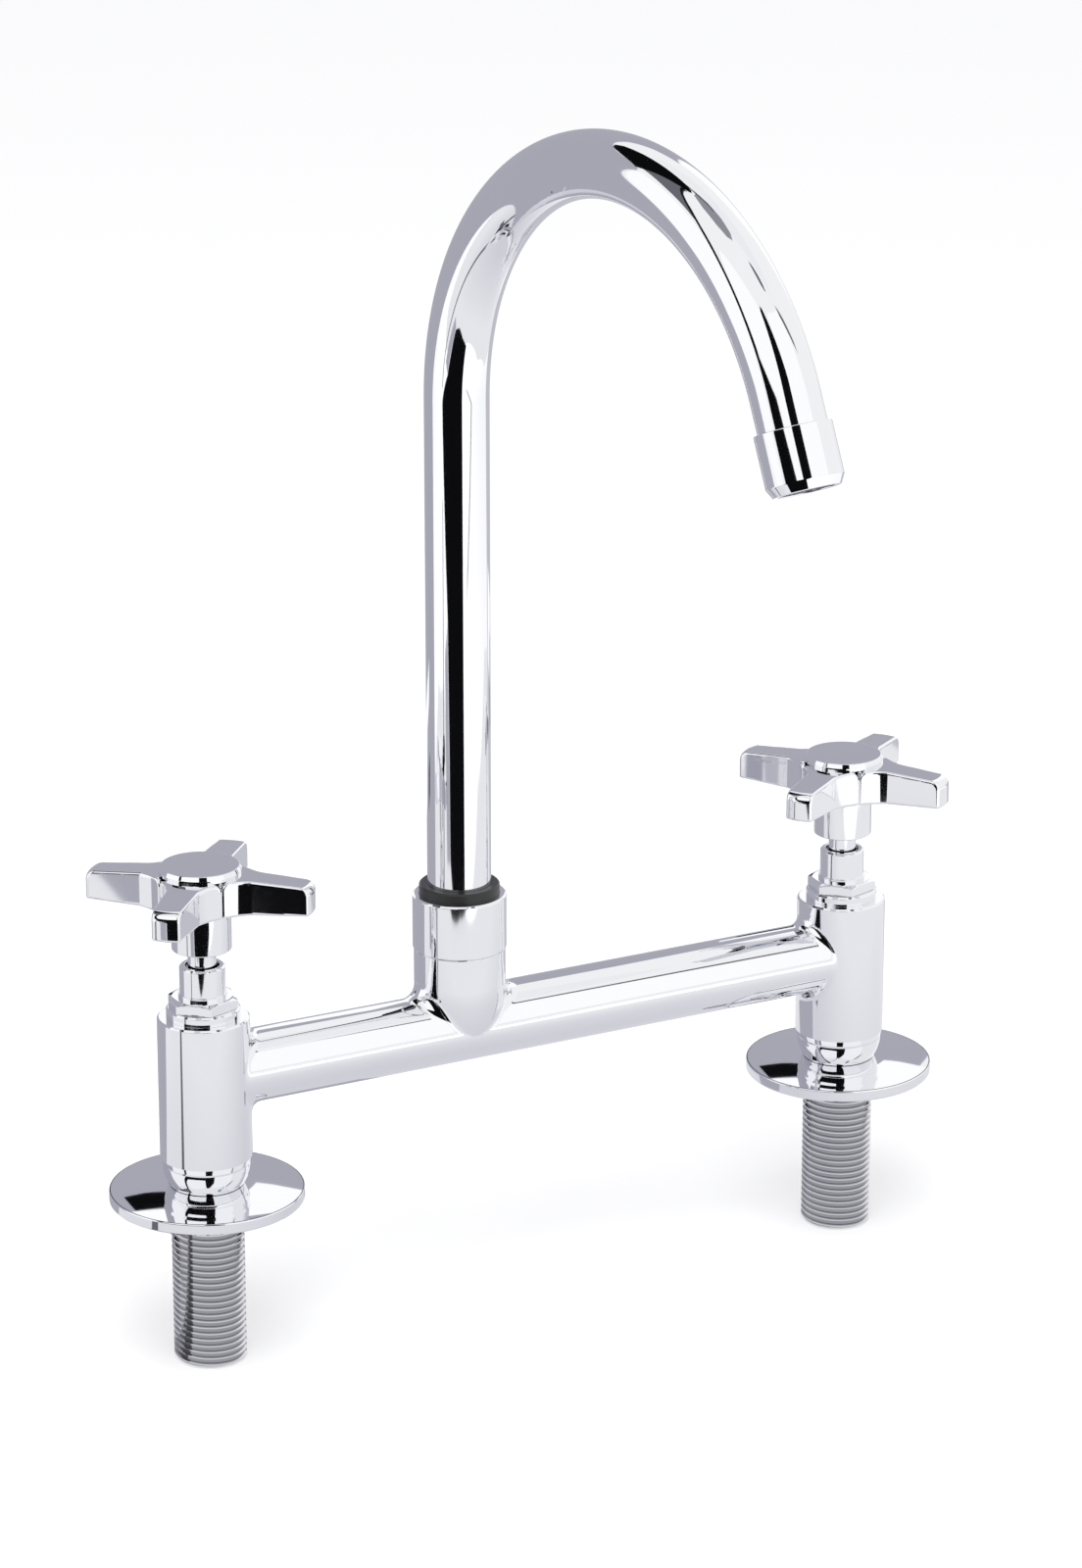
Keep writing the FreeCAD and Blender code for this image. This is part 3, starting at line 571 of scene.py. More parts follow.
tail_outline = [
    (inlet_radius, tail_socket_top),
    (inlet_radius, tail_end + tail_end_chamfer / 2, 0.1 * mm),
    (inlet_radius + tail_end_chamfer / 2, tail_end),
    (tail_root_radius - tail_end_chamfer, tail_end),
    (tail_root_radius, tail_end + tail_end_chamfer),
    (tail_root_radius, thread_start - thread_pitch / 2),
    (tail_neck_radius, thread_start),
    (tail_neck_radius, tail_shoulder),
    (tail_spigot_radius, tail_shoulder),
    (tail_spigot_radius, tail_socket_top),
]
nickel = polished_metal("Nickel plate", nickel_tone, nickel_deep_tone, 0.07, 0.05, 0.003 * mm)

# Painted shade: the roots of the thread are darkened by their radius, so they read darker than its crests.
shine = nickel.node_tree.nodes["Principled BSDF"]
wire = Wire(nickel.node_tree)
place = wire.add("ShaderNodeTexCoord", output="Object")
across = wire.add("ShaderNodeMath", {"operation": "ABSOLUTE"}, {
    0: wire.add("ShaderNodeSeparateXYZ", None, {0: place}, output="X")}) - valve_places["right"].x
along = wire.add("ShaderNodeSeparateXYZ", None, {0: place}, output="Y")
off_axis = wire.add("ShaderNodeCombineXYZ", None, {0: across, 1: along})
radius = wire.add("ShaderNodeVectorMath", {"operation": "LENGTH"}, {0: off_axis}, output="Value")
climb = wire.add("ShaderNodeMapRange", None, {
    "Value": radius, "From Min": tail_root_radius - 0.2 * mm, "From Max": thread_radius}, output="Result")
# Painted shade: this ramp, set by the radius, picks where the roots are darkened.
bare = wire.add("ShaderNodeValToRGB", {"stops": [
    (0.0, (1, 1, 1, 1)), (0.1, (1, 1, 1, 1)), (0.14, (0, 0, 0, 1)), (0.28, (0.15, 0.15, 0.15, 1)),
    (0.55, (1, 1, 1, 1))]},
    {0: climb})
plate = Wire(nickel.node_tree, shine.inputs["Base Color"].links[0].from_socket)
nickel.node_tree.links.new(blend(wire, bare, painted_groove_shade, plate).socket, shine.inputs["Base Color"])
for side, spot in at_valve.items():
    core_mesh = make_piece("core", [turned(tail_outline)], nickel)
    tail = grow("threaded_tail_" + side, core_mesh.data, thread_tree, {
        "Root radius": tail_root_radius,
        "Depth": thread_depth,
        "Pitch": thread_pitch,
        "Crest": thread_crest,
        "Turns": thread_turns,
        "Start": thread_start - thread_pitch / 4,
        "Steps": turn_steps,
        "Finish": nickel})
    bpy.data.objects.remove(core_mesh)
    tail.data.transform(spot)
    tail.data.shade_smooth()
    tail.data.set_sharp_from_angle(angle=math.radians(25))
    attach(tail, "base")
    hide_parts("tail_" + side)


# The cover flanges: low pressed domes, polished and chromed, with a cup for the round foot
# of the valve body. Each hides its hole in the sink and beds on a flat rubber seal.
flange_radius = 26.5 * mm
flange_rim_height = 3.3 * mm
flange_crown_radius = 9.2 * mm
flange_crown_height = 4.5 * mm
flange_dome_rounding = 124 * mm
flange_edge = 0.5 * mm
flange_hole_radius = 8.2 * mm
flange_recess_radius = 12.0 * mm
flange_sides = 256
cup_gap = 0.04 * mm
cup_radius = math.sqrt((bowl_radius + cup_gap) ** 2 - (bowl_top - flange_crown_height) ** 2)
cup_floor_radius = math.sqrt((bowl_radius + cup_gap) ** 2 - (bowl_top - body_floor + cup_gap) ** 2)
flange_outline = [
    (flange_recess_radius, 0),
    (flange_radius - flange_edge, 0, 0.15 * mm),
    (flange_radius, flange_edge, 0.3 * mm),
    (flange_radius, flange_rim_height, 0.45 * mm),
    ((flange_radius + flange_crown_radius) / 2, flange_crown_height, flange_dome_rounding),
    (cup_radius, flange_crown_height, 0.08 * mm),
    (cup_floor_radius, body_floor - cup_gap),
    (flange_hole_radius, body_floor - cup_gap),
    (flange_hole_radius, tail_shoulder),
    (flange_recess_radius, tail_shoulder),
]
flange_shell = turned(flange_outline, flange_sides)
for side, spot in at_valve.items():
    flange = make_piece("domed_flange_" + side, [placed(flange_shell, spot)], chrome)
    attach(flange, "base")
    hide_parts("flange_" + side)


# The headwork bonnets: turned from hexagon brass and chromed, with a round base ring that
# closes on the valve body, a spanner hexagon, and a slim neck that guides the spindle.
bonnet_ring_radius = 10.0 * mm
bonnet_ring_top = 55.7 * mm
bonnet_ring_chamfer = 0.5 * mm
hexagon_half_flats = 8.5 * mm
hexagon_top = 58.8 * mm
hexagon_turn = math.radians(-12)
hexagon_bevel_height = 0.7 * mm
hexagon_bevel_radius = 8.15 * mm
hexagon_cell = 0.24 * mm
bonnet_step_radius = 6.6 * mm
bonnet_step_top = 59.8 * mm
neck_radius = 6.2 * mm
neck_top = 67.5 * mm
neck_chamfer = 0.5 * mm
neck_mouth_radius = 4.65 * mm
neck_mouth_floor = 64.3 * mm


def round_meet(first, second, rounding):
    """What two solids share, with a rounded edge where their skins meet."""
    edge = np.hypot(np.maximum(rounding + first, 0), np.maximum(rounding + second, 0))
    return np.minimum(-rounding, np.maximum(first, second)) + edge


def hexagon_field(x, y, z):
    """Below zero inside the bevelled spanner hexagon."""
    sides = [x * math.cos(angle) + y * math.sin(angle)
             for angle in (hexagon_turn, hexagon_turn + math.pi / 3, hexagon_turn + 2 * math.pi / 3)]
    flats = [np.abs(side) - hexagon_half_flats for side in sides]
    prism = round_meet(round_meet(flats[0], flats[1], 0.2 * mm), flats[2], 0.2 * mm)
    corner = hexagon_half_flats * 2 / math.sqrt(3)
    run = corner - hexagon_bevel_radius
    slant = math.hypot(run, hexagon_bevel_height)
    out = np.hypot(x, y) - corner
    bevel = (out * hexagon_bevel_height + (z - hexagon_top + hexagon_bevel_height) * run) / slant
    ends = np.maximum(z - hexagon_top, bonnet_ring_top - z)
    return round_meet(round_meet(prism, bevel, 0.1 * mm), ends, 0.08 * mm)


base_ring_outline = [
    (0, body_top),
    (bonnet_ring_radius, body_top, 0.06 * mm),
    (bonnet_ring_radius, bonnet_ring_top - bonnet_ring_chamfer, 0.15 * mm),
    (bonnet_ring_radius - bonnet_ring_chamfer, bonnet_ring_top, 0.15 * mm),
    (0, bonnet_ring_top),
]
neck_outline = [
    (0, hexagon_top - margin),
    (bonnet_step_radius, hexagon_top - margin),
    (bonnet_step_radius, bonnet_step_top, 0.15 * mm),
    (neck_radius, bonnet_step_top, 0.1 * mm),
    (neck_radius, neck_top - neck_chamfer, 0.2 * mm),
    (neck_radius - neck_chamfer, neck_top, 0.15 * mm),
    (neck_mouth_radius, neck_top, 0.15 * mm),
    (neck_mouth_radius, neck_mouth_floor),
    (0, neck_mouth_floor),
]
hexagon_reach = hexagon_half_flats * 1.25
room_below = 1.03 * hexagon_cell
room_above = 2 * hexagon_cell
hexagon = skin(hexagon_field, (-hexagon_reach, -hexagon_reach, bonnet_ring_top - room_below),
               (hexagon_reach, hexagon_reach, hexagon_top + room_above), hexagon_cell)
bonnet_shells = [turned(base_ring_outline), turned(neck_outline), hexagon]
for side, spot in at_valve.items():
    bonnet = make_piece("headwork_bonnet_" + side, [placed(shell, spot) for shell in bonnet_shells], chrome)
    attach(bonnet, "base")
    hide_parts("bonnet_" + side)


# The spindles: turned brass rods, chromed where they show between the neck and the handle.
# A thrust shoulder holds each down inside its bonnet, and its thread lifts the valve plug.
spindle_radius = 3.85 * mm
spindle_thread_radius = 4.0 * mm
spindle_groove_radius = 3.0 * mm
spindle_groove_width = 1.2 * mm
spindle_shoulder_gap = 3.8 * mm
spindle_shoulder_thickness = 2.4 * mm
clip_groove_radius = 3.4 * mm
clip_groove_top = 64.97 * mm
clip_groove_bottom = 64.34 * mm
spindle_square_bottom = 76.0 * mm
spindle_sides = 96
for side, spot in at_valve.items():
    low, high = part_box("spindle_" + side)
    shoulder_radius = (high.x - low.x) / 2
    ring_low, ring_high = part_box("spindle_o_rings_" + side)
    shoulder_top = ring_low.z - spindle_shoulder_gap
    shoulder_bottom = shoulder_top - spindle_shoulder_thickness
    spindle_outline = [
        (0, low.z),
        (spindle_thread_radius, low.z, 0.3 * mm),
        (spindle_thread_radius, shoulder_bottom),
        (shoulder_radius, shoulder_bottom, 0.2 * mm),
        (shoulder_radius, shoulder_top, 0.2 * mm),
        (spindle_radius, shoulder_top),
    ]
    lower_groove = (spindle_groove_radius, ring_low.z, ring_low.z + spindle_groove_width)
    upper_groove = (spindle_groove_radius, ring_high.z - spindle_groove_width, ring_high.z)
    clip_groove = (clip_groove_radius, clip_groove_bottom, clip_groove_top)
    for floor, bottom, top in (lower_groove, upper_groove, clip_groove):
        spindle_outline += [(spindle_radius, bottom), (floor, bottom), (floor, top), (spindle_radius, top)]
    spindle_outline += [
        (spindle_radius, spindle_square_bottom, 0.2 * mm),
        (spindle_groove_radius, spindle_square_bottom),
        (spindle_groove_radius, high.z, 0.2 * mm),
        (0, high.z),
    ]
    shell = turned(spindle_outline, spindle_sides)
    spindle = make_piece("turning_spindle_" + side, [placed(shell, spot)], chrome)
    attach(spindle, side + "_handle")
    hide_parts("spindle_" + side)


# The cross handles: chromed castings with four tapering arms, hollow webs between them and
# a round skirt below. Each fits the spindle's square and is held by a screw under its disc.
hub_radius = 8.1 * mm
hub_recess_radius = 5.0 * mm
hub_recess_depth = 2.8 * mm
arm_underside = 83.9 * mm
arm_top = 93.8 * mm
arm_reach = 31.3 * mm
arm_root = 15.5 * mm
arm_root_half_width = 4.5 * mm
arm_tip_half_width = 3.9 * mm
arm_end_bulge = 0.6 * mm
web_radius = 12.4 * mm
tip_drop = 1.1 * mm
tip_rise = 0.9 * mm
tip_rounding = 2.4 * mm
edge_rounding = 0.7 * mm
under_rounding = 0.6 * mm
handle_cell = 0.36 * mm
handle_turns = {"left": math.radians(48.0), "right": math.radians(34.5)}

web_corner = web_radius * math.sqrt(0.5)
root_to_corner = Vector((arm_root - web_corner, arm_root_half_width - web_corner))
web_reach = root_to_corner.length_squared / (root_to_corner.x + root_to_corner.y) / math.sqrt(2)
web_centre = web_corner + web_reach * math.sqrt(0.5)
end_curve = (arm_tip_half_width ** 2 + arm_end_bulge ** 2) / (2 * arm_end_bulge)
side_lean = (arm_root_half_width - arm_tip_half_width) / (arm_reach - arm_end_bulge - arm_root)


def handle_field(x, y, z):
    """Below zero inside the cross of the handle, with its arms along X and Y."""
    along = np.maximum(np.abs(x), np.abs(y))
    across = np.minimum(np.abs(x), np.abs(y))
    out = np.hypot(x, y)
    flat_side = (across - arm_root_half_width + side_lean * (along - arm_root)) / math.hypot(1, side_lean)
    web = web_reach - np.hypot(along - web_centre, across - web_centre)
    sides = np.where(along < web_centre, np.minimum(flat_side, web), flat_side)
    slope = np.clip((out - web_radius) / (arm_reach - web_radius), 0, 1)
    top = z - arm_top + tip_drop * slope
    underside = arm_underside + tip_rise * slope - z
    end = np.hypot(along - arm_reach + end_curve, across) - end_curve
    ends = round_meet(round_meet(end, top, tip_rounding), underside, under_rounding)
    return round_meet(ends, sides, edge_rounding)


box_reach = arm_reach + margin
room = 3.1 * handle_cell
cross = skin(handle_field, (-box_reach, -box_reach, arm_underside - room),
             (box_reach, box_reach, arm_top + room), handle_cell)
for side, turn in handle_turns.items():
    low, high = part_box("handle_" + side)
    hub_outline = [
        (0, low.z + hub_recess_depth),
        (hub_recess_radius, low.z + hub_recess_depth),
        (hub_recess_radius, low.z, 0.2 * mm),
        (hub_radius, low.z, 0.35 * mm),
        (hub_radius, arm_underside + margin),
        (0, arm_underside + margin),
    ]
    spot = at_valve[side] @ Matrix.Rotation(turn, 4, "Z")
    handle_shells = [placed(cross, spot), placed(turned(hub_outline), spot)]
    handle = make_piece("cross_handle_" + side, handle_shells, chrome)
    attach(handle, side + "_handle")
    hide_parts("handle_" + side)


# The index discs: bare bevelled caps, turned and chromed, pressed into the handles' tops
# over the screws. Their spigots grip by friction, so they lift off with a blade.
disc_rim_radius = 11.1 * mm
disc_top_radius = 10.5 * mm
disc_rim_height = 0.8 * mm
disc_spigot_radius = 8.56 * mm
for side, spot in at_valve.items():
    low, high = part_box("index_disc_" + side)
    disc_outline = [
        (0, low.z),
        (disc_spigot_radius, low.z, 0.2 * mm),
        (disc_spigot_radius, arm_top),
        (disc_rim_radius, arm_top),
        (disc_rim_radius, arm_top + disc_rim_height, 0.2 * mm),
        (disc_top_radius, high.z, 0.3 * mm),
        (0, high.z),
    ]
    cap = make_piece("bevelled_disc_" + side, [placed(turned(disc_outline), spot)], chrome)
    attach(cap, side + "_handle")
    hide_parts("index_disc_" + side)


# The spout collar: a chromed sleeve nut on the riser's spigot. Its inner lip holds down the
# black guide ring, so that the spout can turn but cannot be lifted out.
collar_radius = 12.9 * mm
collar_top = 74.9 * mm
collar_edge = 0.5 * mm
collar_lip_radius = 11.09 * mm
collar_lip_bottom = 71.5 * mm
collar_bore_radius = 11.64 * mm
collar_thread_radius = 11.54 * mm
collar_outline = [
    (collar_thread_radius, riser_top),
    (collar_radius - collar_edge, riser_top, 0.1 * mm),
    (collar_radius, riser_top + collar_edge, 0.15 * mm),
    (collar_radius, collar_top - collar_edge, 0.3 * mm),
    (collar_radius - collar_edge, collar_top, 0.3 * mm),
    (collar_lip_radius, collar_top, 0.1 * mm),
    (collar_lip_radius, collar_lip_bottom),
    (collar_bore_radius, collar_lip_bottom),
    (collar_bore_radius, spigot_top),
    (collar_thread_radius, spigot_top),
]
collar = make_piece("sleeve_collar", [placed(turned(collar_outline), at_riser)], chrome)
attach(collar, "base")
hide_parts("spout_collar")


# The guide ring: moulded in black plastic and snug round the tube, which turns in it.
# Its flange sits under the collar's lip, and its bevelled end stands just proud of it.
ring_flange_radius = 11.6 * mm
ring_radius = 11.05 * mm
ring_bore = 8.83 * mm
ring_edge = 0.4 * mm


def moulded_plastic(name, tone, deep_tone, rough):
    """Moulded plastic: a fine even grain with slow changes of sheen."""
    material, wire = new_finish(name)
    place = wire.add("ShaderNodeTexCoord", output="Object")
    grain = wire.add("ShaderNodeTexNoise", None, {"Vector": place, "Scale": 2600.0, "Detail": 2.0})
    drift = wire.add("ShaderNodeTexNoise", None, {"Vector": place, "Scale": 120.0, "Detail": 2.0})
    bump = wire.add("ShaderNodeBump", None, {"Strength": 0.5, "Distance": 0.03 * mm, "Height": grain})
    surface = wire.add("ShaderNodeBsdfPrincipled", None, {
        "Base Color": blend(wire, drift, tone, deep_tone),
        "Roughness": rough + drift * 0.12,
        "Normal": bump,
    })
    wire.add("ShaderNodeOutputMaterial", None, {"Surface": surface})
    return material


black_plastic = moulded_plastic("Black plastic", (0.012, 0.012, 0.013, 1), (0.020, 0.020, 0.021, 1), 0.32)
ring_low, ring_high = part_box("guide_ring")
ring_outline = [
    (ring_bore, ring_low.z),
    (ring_flange_radius, ring_low.z, 0.1 * mm),
    (ring_flange_radius, collar_lip_bottom - cup_gap),
    (ring_radius, collar_lip_bottom - cup_gap),
    (ring_radius, ring_high.z - ring_edge, 0.15 * mm),
    (ring_radius - ring_edge, ring_high.z, 0.15 * mm),
    (ring_bore, ring_high.z, 0.1 * mm),
]
guide = make_piece("plastic_guide_ring", [placed(turned(ring_outline), at_riser)], black_plastic)
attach(guide, "base")
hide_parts("guide_ring")


# The spout: one drawn brass tube, bent round a former to a swan neck, then polished and
# chromed. Its foot is brazed to a turned plug that seals and swivels in the riser.
tube_radius = 8.75 * mm
tube_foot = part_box("spout_tube")[0].z
bend_height = 214.0 * mm
bend_radius = 74.2 * mm
bend_angle = math.radians(156.75)
tube_straight = 14.6 * mm
spout_turn = math.radians(6.6 - 90)
bend_steps = 160
tube_sides = 160

spout_place = at_riser @ Matrix.Rotation(spout_turn, 4, "Z")
apex_height = bend_height + bend_radius * math.tan(bend_angle / 2)
tip_way = Vector((math.sin(bend_angle), 0, math.cos(bend_angle)))
apex = Vector((0, 0, apex_height))
tip_leg = bend_radius * math.tan(bend_angle / 2) + tube_straight
tube_tree, tube_wires = new_tree("Tube along a filleted route", {
    "Bend radius": "Float", "Bend steps": "Int", "Tube radius": "Float", "Tube sides": "Int",
    "Finish": "Material"})
route = tube_wires["Geometry"]
bent = route.add("GeometryNodeFilletCurve", {"mode": "POLY"}, {
    "Curve": route, "Radius": tube_wires["Bend radius"], "Count": tube_wires["Bend steps"]})
round_section = route.add("GeometryNodeCurvePrimitiveCircle", None, {
    "Resolution": tube_wires["Tube sides"], "Radius": tube_wires["Tube radius"]})
skin_of_tube = route.add("GeometryNodeCurveToMesh", None, {"Curve": bent, "Profile Curve": round_section})
end_tree(tube_tree, skin_of_tube, tube_wires["Finish"])
route_curve = bpy.data.curves.new("spout_route", "CURVE")
route_curve.dimensions = "3D"
line = route_curve.splines.new("POLY")
line.points.add(2)
for point, spot in zip(line.points, (Vector((0, 0, tube_foot)), apex, apex + tip_way * tip_leg)):
    point.co = (*spot, 1)
spout = grow("swan_neck_tube", route_curve, tube_tree, {
    "Bend radius": bend_radius, "Bend steps": bend_steps, "Tube radius": tube_radius,
    "Tube sides": tube_sides, "Finish": chrome})
spout.data.transform(spout_place)
spout.data.shade_smooth()
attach(spout, "swivel_spout")
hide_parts("spout_tube")


# The aerator: a chromed sleeve on the end of the tube, bevelled at its outlet. It holds a
# rubber washer, a plastic insert that breaks up the stream, and a fine steel screen.
aerator_radius = 9.8 * mm
aerator_length = 15.7 * mm
aerator_chamfer = 1.3 * mm
aerator_chamfer_length = 2.4 * mm
aerator_lip_radius = 7.2 * mm
aerator_bore_radius = 8.2 * mm
aerator_socket_radius = 8.79 * mm
aerator_socket_depth = 7.2 * mm
aerator_lip_depth = 1.9 * mm
bend_end = Vector((bend_radius * (1 - math.cos(bend_angle)), 0,
                   bend_height + bend_radius * math.sin(bend_angle)))
aerator_top = bend_end + tip_way * (tube_straight - aerator_socket_depth)
aerator_turn = Matrix.Rotation(bend_angle - math.pi, 4, "Y")
aerator_place = spout_place @ Matrix.Translation(aerator_top) @ aerator_turn
aerator_outline = [
    (aerator_socket_radius, 0),
    (aerator_socket_radius, -aerator_socket_depth),
    (aerator_bore_radius, -aerator_socket_depth),
    (aerator_bore_radius, -aerator_length + aerator_lip_depth),
    (aerator_lip_radius, -aerator_length + aerator_lip_depth),
    (aerator_lip_radius, -aerator_length, 0.3 * mm),
    (aerator_radius - aerator_chamfer, -aerator_length, 0.3 * mm),
    (aerator_radius, -aerator_length + aerator_chamfer_length, 0.5 * mm),
    (aerator_radius, 0, 0.25 * mm),
]
sleeve = make_piece("aerator_sleeve", [placed(turned(aerator_outline), aerator_place)], chrome)
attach(sleeve, "swivel_spout")
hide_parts("aerator_housing")


# The working parts inside: brass plugs and screws, rubber washers and rings, fibre washers,
# spring steel clips. They stay as they are made, and get the finish of their own stuff.
brass = polished_metal("Turned brass", (0.78, 0.57, 0.30, 1), (0.70, 0.50, 0.25, 1), 0.22, 0.12, 0.01 * mm)
steel = polished_metal("Stainless steel", (0.62, 0.62, 0.61, 1), (0.55, 0.55, 0.55, 1), 0.22, 0.1,
                       0.01 * mm)
rubber = moulded_plastic("Black rubber", (0.018, 0.018, 0.019, 1), (0.030, 0.030, 0.031, 1), 0.60)
fibre = moulded_plastic("Red fibre", (0.32, 0.06, 0.04, 1), (0.25, 0.045, 0.03, 1), 0.65)
pale_plastic = moulded_plastic("Pale acetal", (0.80, 0.81, 0.80, 1), (0.74, 0.75, 0.74, 1), 0.35)
inner_finishes = {
    "brass": brass, "steel": steel, "rubber": rubber, "fibre": fibre, "pale_plastic": pale_plastic,
    "chrome": chrome, "nickel": nickel, "black_plastic": black_plastic}
node_slots = {part["node"]: part["material_slot"] for part in frame["record"]["subparts"]}
for name, piece in frame["nodes"].items():
    if piece.hide_render:
        continue
    finish = inner_finishes[node_slots[name]]
    if piece.material_slots:
        for slot in piece.material_slots:
            slot.material = finish
    else:
        piece.data.materials.append(finish)


# The studio: the tap stands on its tails on a white table, lit softly from all round.
# Sheets and cards of white, grey and black hang round it and lie on the table. They show
# only in reflections.
table_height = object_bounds()[0].z
table_half = 12.0
table_glow = 0.31
sky_level = 0.72
camera_place = Vector((-0.63085, -1.17821, 0.55033))
camera_turn = math.radians(28.27)
camera_dip = math.radians(18.53)
focal_pixels = 5256.12
image_height = 1600
sensor = 36.0


def backdrop_rays(wire):
    """1 for what the camera sees, also by way of metal or glass, and 0 for what lights the tap."""
    straight = wire.add("ShaderNodeLightPath", output="Is Camera Ray")
    mirrored = wire.add("ShaderNodeLightPath", output="Is Glossy Ray")
    through = wire.add("ShaderNodeLightPath", output="Is Transmission Ray")
    return straight + mirrored + through


table_mesh = bpy.data.meshes.new("table")
table_corners = [(x * table_half, y * table_half, table_height)
                 for x, y in ((-1, -1), (1, -1), (1, 1), (-1, 1))]
table_mesh.from_pydata(table_corners, [], [(0, 1, 2, 3)])
table = bpy.data.objects.new("table", table_mesh)
bpy.context.scene.collection.objects.link(table)
table_white, wire = new_finish("White table")
matt = wire.add("ShaderNodeBsdfDiffuse", None, {"Color": (0.86, 0.86, 0.86, 1)})
glow = wire.add("ShaderNodeEmission", None, {
    "Color": (1, 1, 1, 1), "Strength": backdrop_rays(wire) * table_glow})
both = wire.add("ShaderNodeAddShader", None, {0: matt, 1: glow})
wire.add("ShaderNodeOutputMaterial", None, {"Surface": both})
table_mesh.materials.append(table_white)

probe = Vector((-0.02, -0.06, 0.25))
lowest_card = 1.0 * mm
card_step = 0.5 * mm


def glowing(name, tone):
    """A sheet's own even brightness."""
    material, wire = new_finish(name)
    light = wire.add("ShaderNodeEmission", None, {"Color": tone, "Strength": 1.0})
    wire.add("ShaderNodeOutputMaterial", None, {"Surface": light})
    return material


def sheet(name, points, faces, material):
    """A sheet round the table that only the chrome sees."""
    mesh = bpy.data.meshes.new(name)
    mesh.from_pydata(points, [], faces)
    mesh.materials.append(material)
    panel = bpy.data.objects.new(name, mesh)
    bpy.context.scene.collection.objects.link(panel)
    for ray in ("camera", "diffuse", "transmission", "volume_scatter", "shadow"):
        setattr(panel, "visible_" + ray, False)


def floor_card(name, layer, corners, material):
    """A card that lies on the table, above the cards of lower layers."""
    height = table_height + lowest_card + layer * card_step
    points = [(x, y, height) for x, y in corners]
    sheet(name, points, [tuple(range(len(points)))], material)


def curtain(name, distance, stations, material, centre=probe):
    """A hung sheet: at each bearing from +X it spans two heights, all three in degrees."""
    points = []
    for bearing, low, high in stations:
        turn = math.radians(bearing)
        for climb in (math.radians(low), math.radians(high)):
            flat = math.cos(climb)
            way = Vector((math.cos(turn) * flat, math.sin(turn) * flat, math.sin(climb)))
            points.append(centre + way * distance)
    faces = [(2 * step, 2 * step + 2, 2 * step + 3, 2 * step + 1) for step in range(len(stations) - 1)]
    sheet(name, points, faces, material)


black_cloth = glowing("Black cloth", (0.004, 0.004, 0.005, 1))
dark_cloth = glowing("Dark cloth", (0.15, 0.15, 0.17, 1))
grey_paper = glowing("Grey paper", (0.43, 0.43, 0.49, 1))
soft_white = glowing("Softbox front", (1.12, 1.12, 1.13, 1))
pale_paper = glowing("Pale paper", (0.95, 0.95, 0.97, 1))
grey_ceiling = glowing("Grey ceiling", (0.30, 0.30, 0.33, 1))
cool_paper = glowing("Cool grey paper", (0.57, 0.57, 0.62, 1))

# Painted shadow: the sheet under the tap is a little darker than the table round it, as the tap's shade
# near its foot, and pales towards its edge.
foot_shadow_sheet, wire = new_finish("Painted shadow under the tap")
place = wire.add("ShaderNodeTexCoord", output="Object")
oval = wire.add("ShaderNodeVectorMath", {"operation": "MULTIPLY"}, {0: place, 1: (0.62, 1.0, 0.0)})
far = wire.add("ShaderNodeVectorMath", {"operation": "LENGTH"}, {0: oval}, output="Value")
shadow_fade = wire.add("ShaderNodeMapRange", None, {
    "Value": far, "From Min": 0.04, "From Max": 0.24}, output="Result")
# The painted shadow's tone near the foot, and the paler tone at the sheet's edge.
paper = blend(wire, shadow_fade, (0.70, 0.70, 0.75, 1), (0.90, 0.90, 0.92, 1))
light = wire.add("ShaderNodeEmission", None, {"Color": paper, "Strength": 1.0})
wire.add("ShaderNodeOutputMaterial", None, {"Surface": light})

curtain("grey_wall", 1.5, [
    (48, -11, 40), (60, -11, 40), (75, -11, 41), (90, -11, 42), (105, -11, 42), (120, -11, 41),
    (132, -11, 40), (137, -11, 38), (139, -11, 34)], grey_paper)
curtain("left_softbox", 1.5, [
    (140, -11, 35), (150, -11, 37), (160, -10, 38), (168, -8, 37), (174, -6, 32), (180, -4, 18)],
    soft_white)
curtain("front_left_softbox", 1.5, [
    (183, 18, 36), (187, 15, 48), (200, 14, 51), (215, 14, 51), (230, 15, 50), (239, 17, 46)],
    soft_white)
curtain("front_right_softbox", 1.5, [
    (256, 20, 50), (265, -6, 52), (280, -6, 52), (295, -6, 51), (308, -4, 49), (316, 0, 42)],
    soft_white)
curtain("right_top_sheet", 1.5, [
    (318, 52, 76), (330, 52, 80), (345, 55, 80), (360, 58, 80), (380, 60, 78), (400, 60, 77),
    (420, 58, 75), (440, 55, 72)], pale_paper)
curtain("right_rear_sheet", 1.5, [(24, 12, 28), (30, 2, 36), (40, 0, 38), (47, 0, 38)], soft_white)
curtain("rear_black", 1.4, [
    (90, 72, 76), (94, 46, 77), (98, 43, 78), (106, 42, 78), (116, 42, 78), (126, 41, 76),
    (132, 40, 72), (136, 38, 45)], black_cloth)
curtain("rear_dark", 1.42, [
    (133, 43, 72), (142, 44, 67), (150, 44, 62), (158, 45, 57), (168, 44, 48)], dark_cloth)
curtain("black_bow", 1.4, [
    (132, 70, 74), (142, 66, 69), (151, 61, 64), (159, 55, 59), (166, 47, 54), (172, 37, 46),
    (177, 25, 39), (181, 13, 30), (186, 3, 20), (190, 0, 15)], black_cloth)
curtain("low_black", 1.38, [
    (186, 2, 13), (192, -11, 13), (206, -11, 13), (222, -11, 14), (238, -11, 16), (262, -11, 16)],
    black_cloth)
curtain("black_post", 1.38, [
    (237, 15, 48), (241, 15, 51), (246, 15, 51), (252, 15, 46), (258, 15, 38), (262, 15, 29),
    (264, 15, 20)], black_cloth)
curtain("dark_head", 1.4, [(294, 61, 65), (297, 58, 68), (302, 57, 69), (306, 59, 67), (308, 62, 65)],
        dark_cloth)
curtain("dark_boom", 1.4, [(311, 46, 50), (316, 40, 47), (321, 34, 42), (326, 29, 33)], dark_cloth)
curtain("dark_ceiling_edge", 1.4, [(20, 82, 85), (40, 80, 84), (60, 79, 83), (80, 77, 82), (92, 73, 79)],
        dark_cloth)
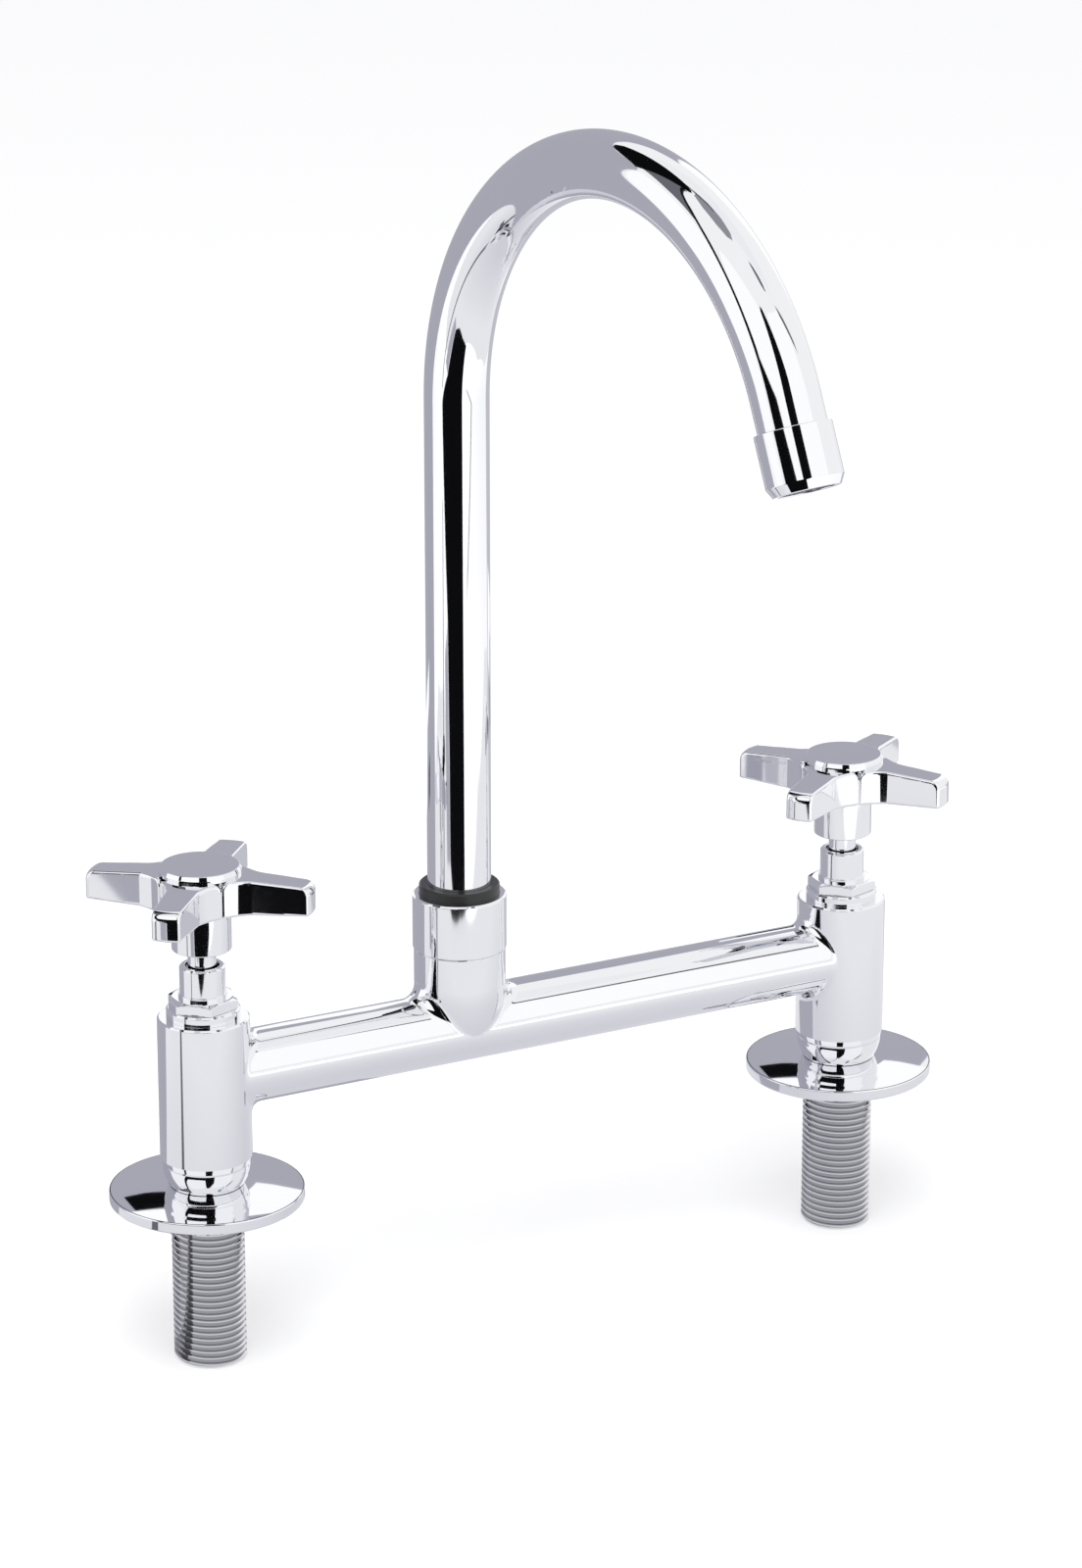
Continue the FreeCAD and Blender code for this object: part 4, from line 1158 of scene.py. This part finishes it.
curtain("ceiling", 1.45, [(bearing, 79, 90) for bearing in range(0, 361, 40)], grey_ceiling)

# A white and a black card stand low behind each flange, where the handles do not mirror them.
# The camera sees the right valve from further left, so its cards are swung round as far.
for side, swing in (("left", 0), ("right", -7.5)):
    flange_top = Vector((valve_places[side].x, 0, flange_crown_height))
    curtain("flange_card_" + side, 0.15, [
        (36 + swing, 24, 42), (58 + swing, 23, 42), (64 + swing, 33, 42), (84 + swing, 34, 42)],
        soft_white, flange_top)
    curtain("flange_patch_" + side, 0.13, [(72 + swing, 25, 33), (84 + swing, 26, 34)],
            black_cloth, flange_top)

# This card carries the painted shadow round the tap's foot, and only the chrome sees it.
floor_card("foot_shade", 0, [
    (-0.6, -0.12), (-0.3, -0.33), (0.3, -0.33), (0.6, -0.1), (0.6, 0.1), (0.3, 0.33), (-0.3, 0.33),
    (-0.6, 0.12)], foot_shadow_sheet)
floor_card("grey_floor", 1, [
    (-0.06, 0.03), (-0.02, 0.03), (0.10, 0.32), (0.20, 0.62), (0.5, 1.5), (-1.5, 1.5), (-1.5, 0.86)],
    grey_paper)
floor_card("black_floor", 1, [
    (-1.5, -0.16), (-0.96, -0.20), (-0.62, -0.30), (-0.45, -0.25), (-0.35, -0.20), (-0.26, -0.235),
    (-0.17, -0.30), (-0.07, -0.345), (-0.26, -1.5), (-1.5, -1.5)], black_cloth)
floor_card("grey_patch", 2, [
    (-0.38, -0.13), (-0.35, -0.19), (-0.45, -0.24), (-0.62, -0.29), (-0.62, -0.17)], grey_paper)
floor_card("right_floor", 2, [
    (0.16, 0.10), (0.34, 0.14), (1.5, 0.05), (1.5, 1.5), (0.51, 1.5), (0.21, 0.62), (0.11, 0.32)],
    cool_paper)
floor_card("dark_strip", 2, [
    (-0.85, -0.17), (-0.85, -0.14), (-0.34, -0.025), (-0.09, 0.015), (-0.09, 0.0), (-0.34, -0.045)],
    dark_cloth)
floor_card("front_strip", 2, [(0.03, -0.68), (0.06, -0.72), (0.46, -0.96), (0.48, -0.92)], dark_cloth)

world = bpy.data.worlds.new("studio")
bpy.context.scene.world = world
world.use_nodes = True
world.node_tree.nodes.clear()
wire = Wire(world.node_tree)
sky = wire.add("ShaderNodeBackground", None, {"Color": (0.98, 0.98, 1.0, 1), "Strength": sky_level})
white = wire.add("ShaderNodeBackground", None, {"Color": (1, 1, 1, 1), "Strength": 1.0})
around = wire.add("ShaderNodeMixShader", None, {0: backdrop_rays(wire), 1: sky, 2: white})
wire.add("ShaderNodeOutputWorld", None, {"Surface": around})

lamp = bpy.data.lights.new("softbox", "AREA")
lamp.shape = "DISK"
lamp.size = 1.2
lamp.energy = 14.0
softbox = bpy.data.objects.new("softbox", lamp)
softbox.location = (-0.5, -0.8, 1.6)
softbox.rotation_euler = (Vector((0, 0, 0)) - softbox.location).to_track_quat("-Z", "Y").to_euler()
softbox.visible_glossy = False
bpy.context.scene.collection.objects.link(softbox)

lens = bpy.data.cameras.new("camera")
lens.lens = focal_pixels * sensor / image_height
lens.sensor_width = sensor
camera = bpy.data.objects.new("camera", lens)
camera.location = camera_place
camera.rotation_euler = (math.pi / 2 - camera_dip, 0, -camera_turn)
bpy.context.scene.collection.objects.link(camera)
bpy.context.scene.camera = camera
bpy.context.scene.view_settings.view_transform = "Standard"
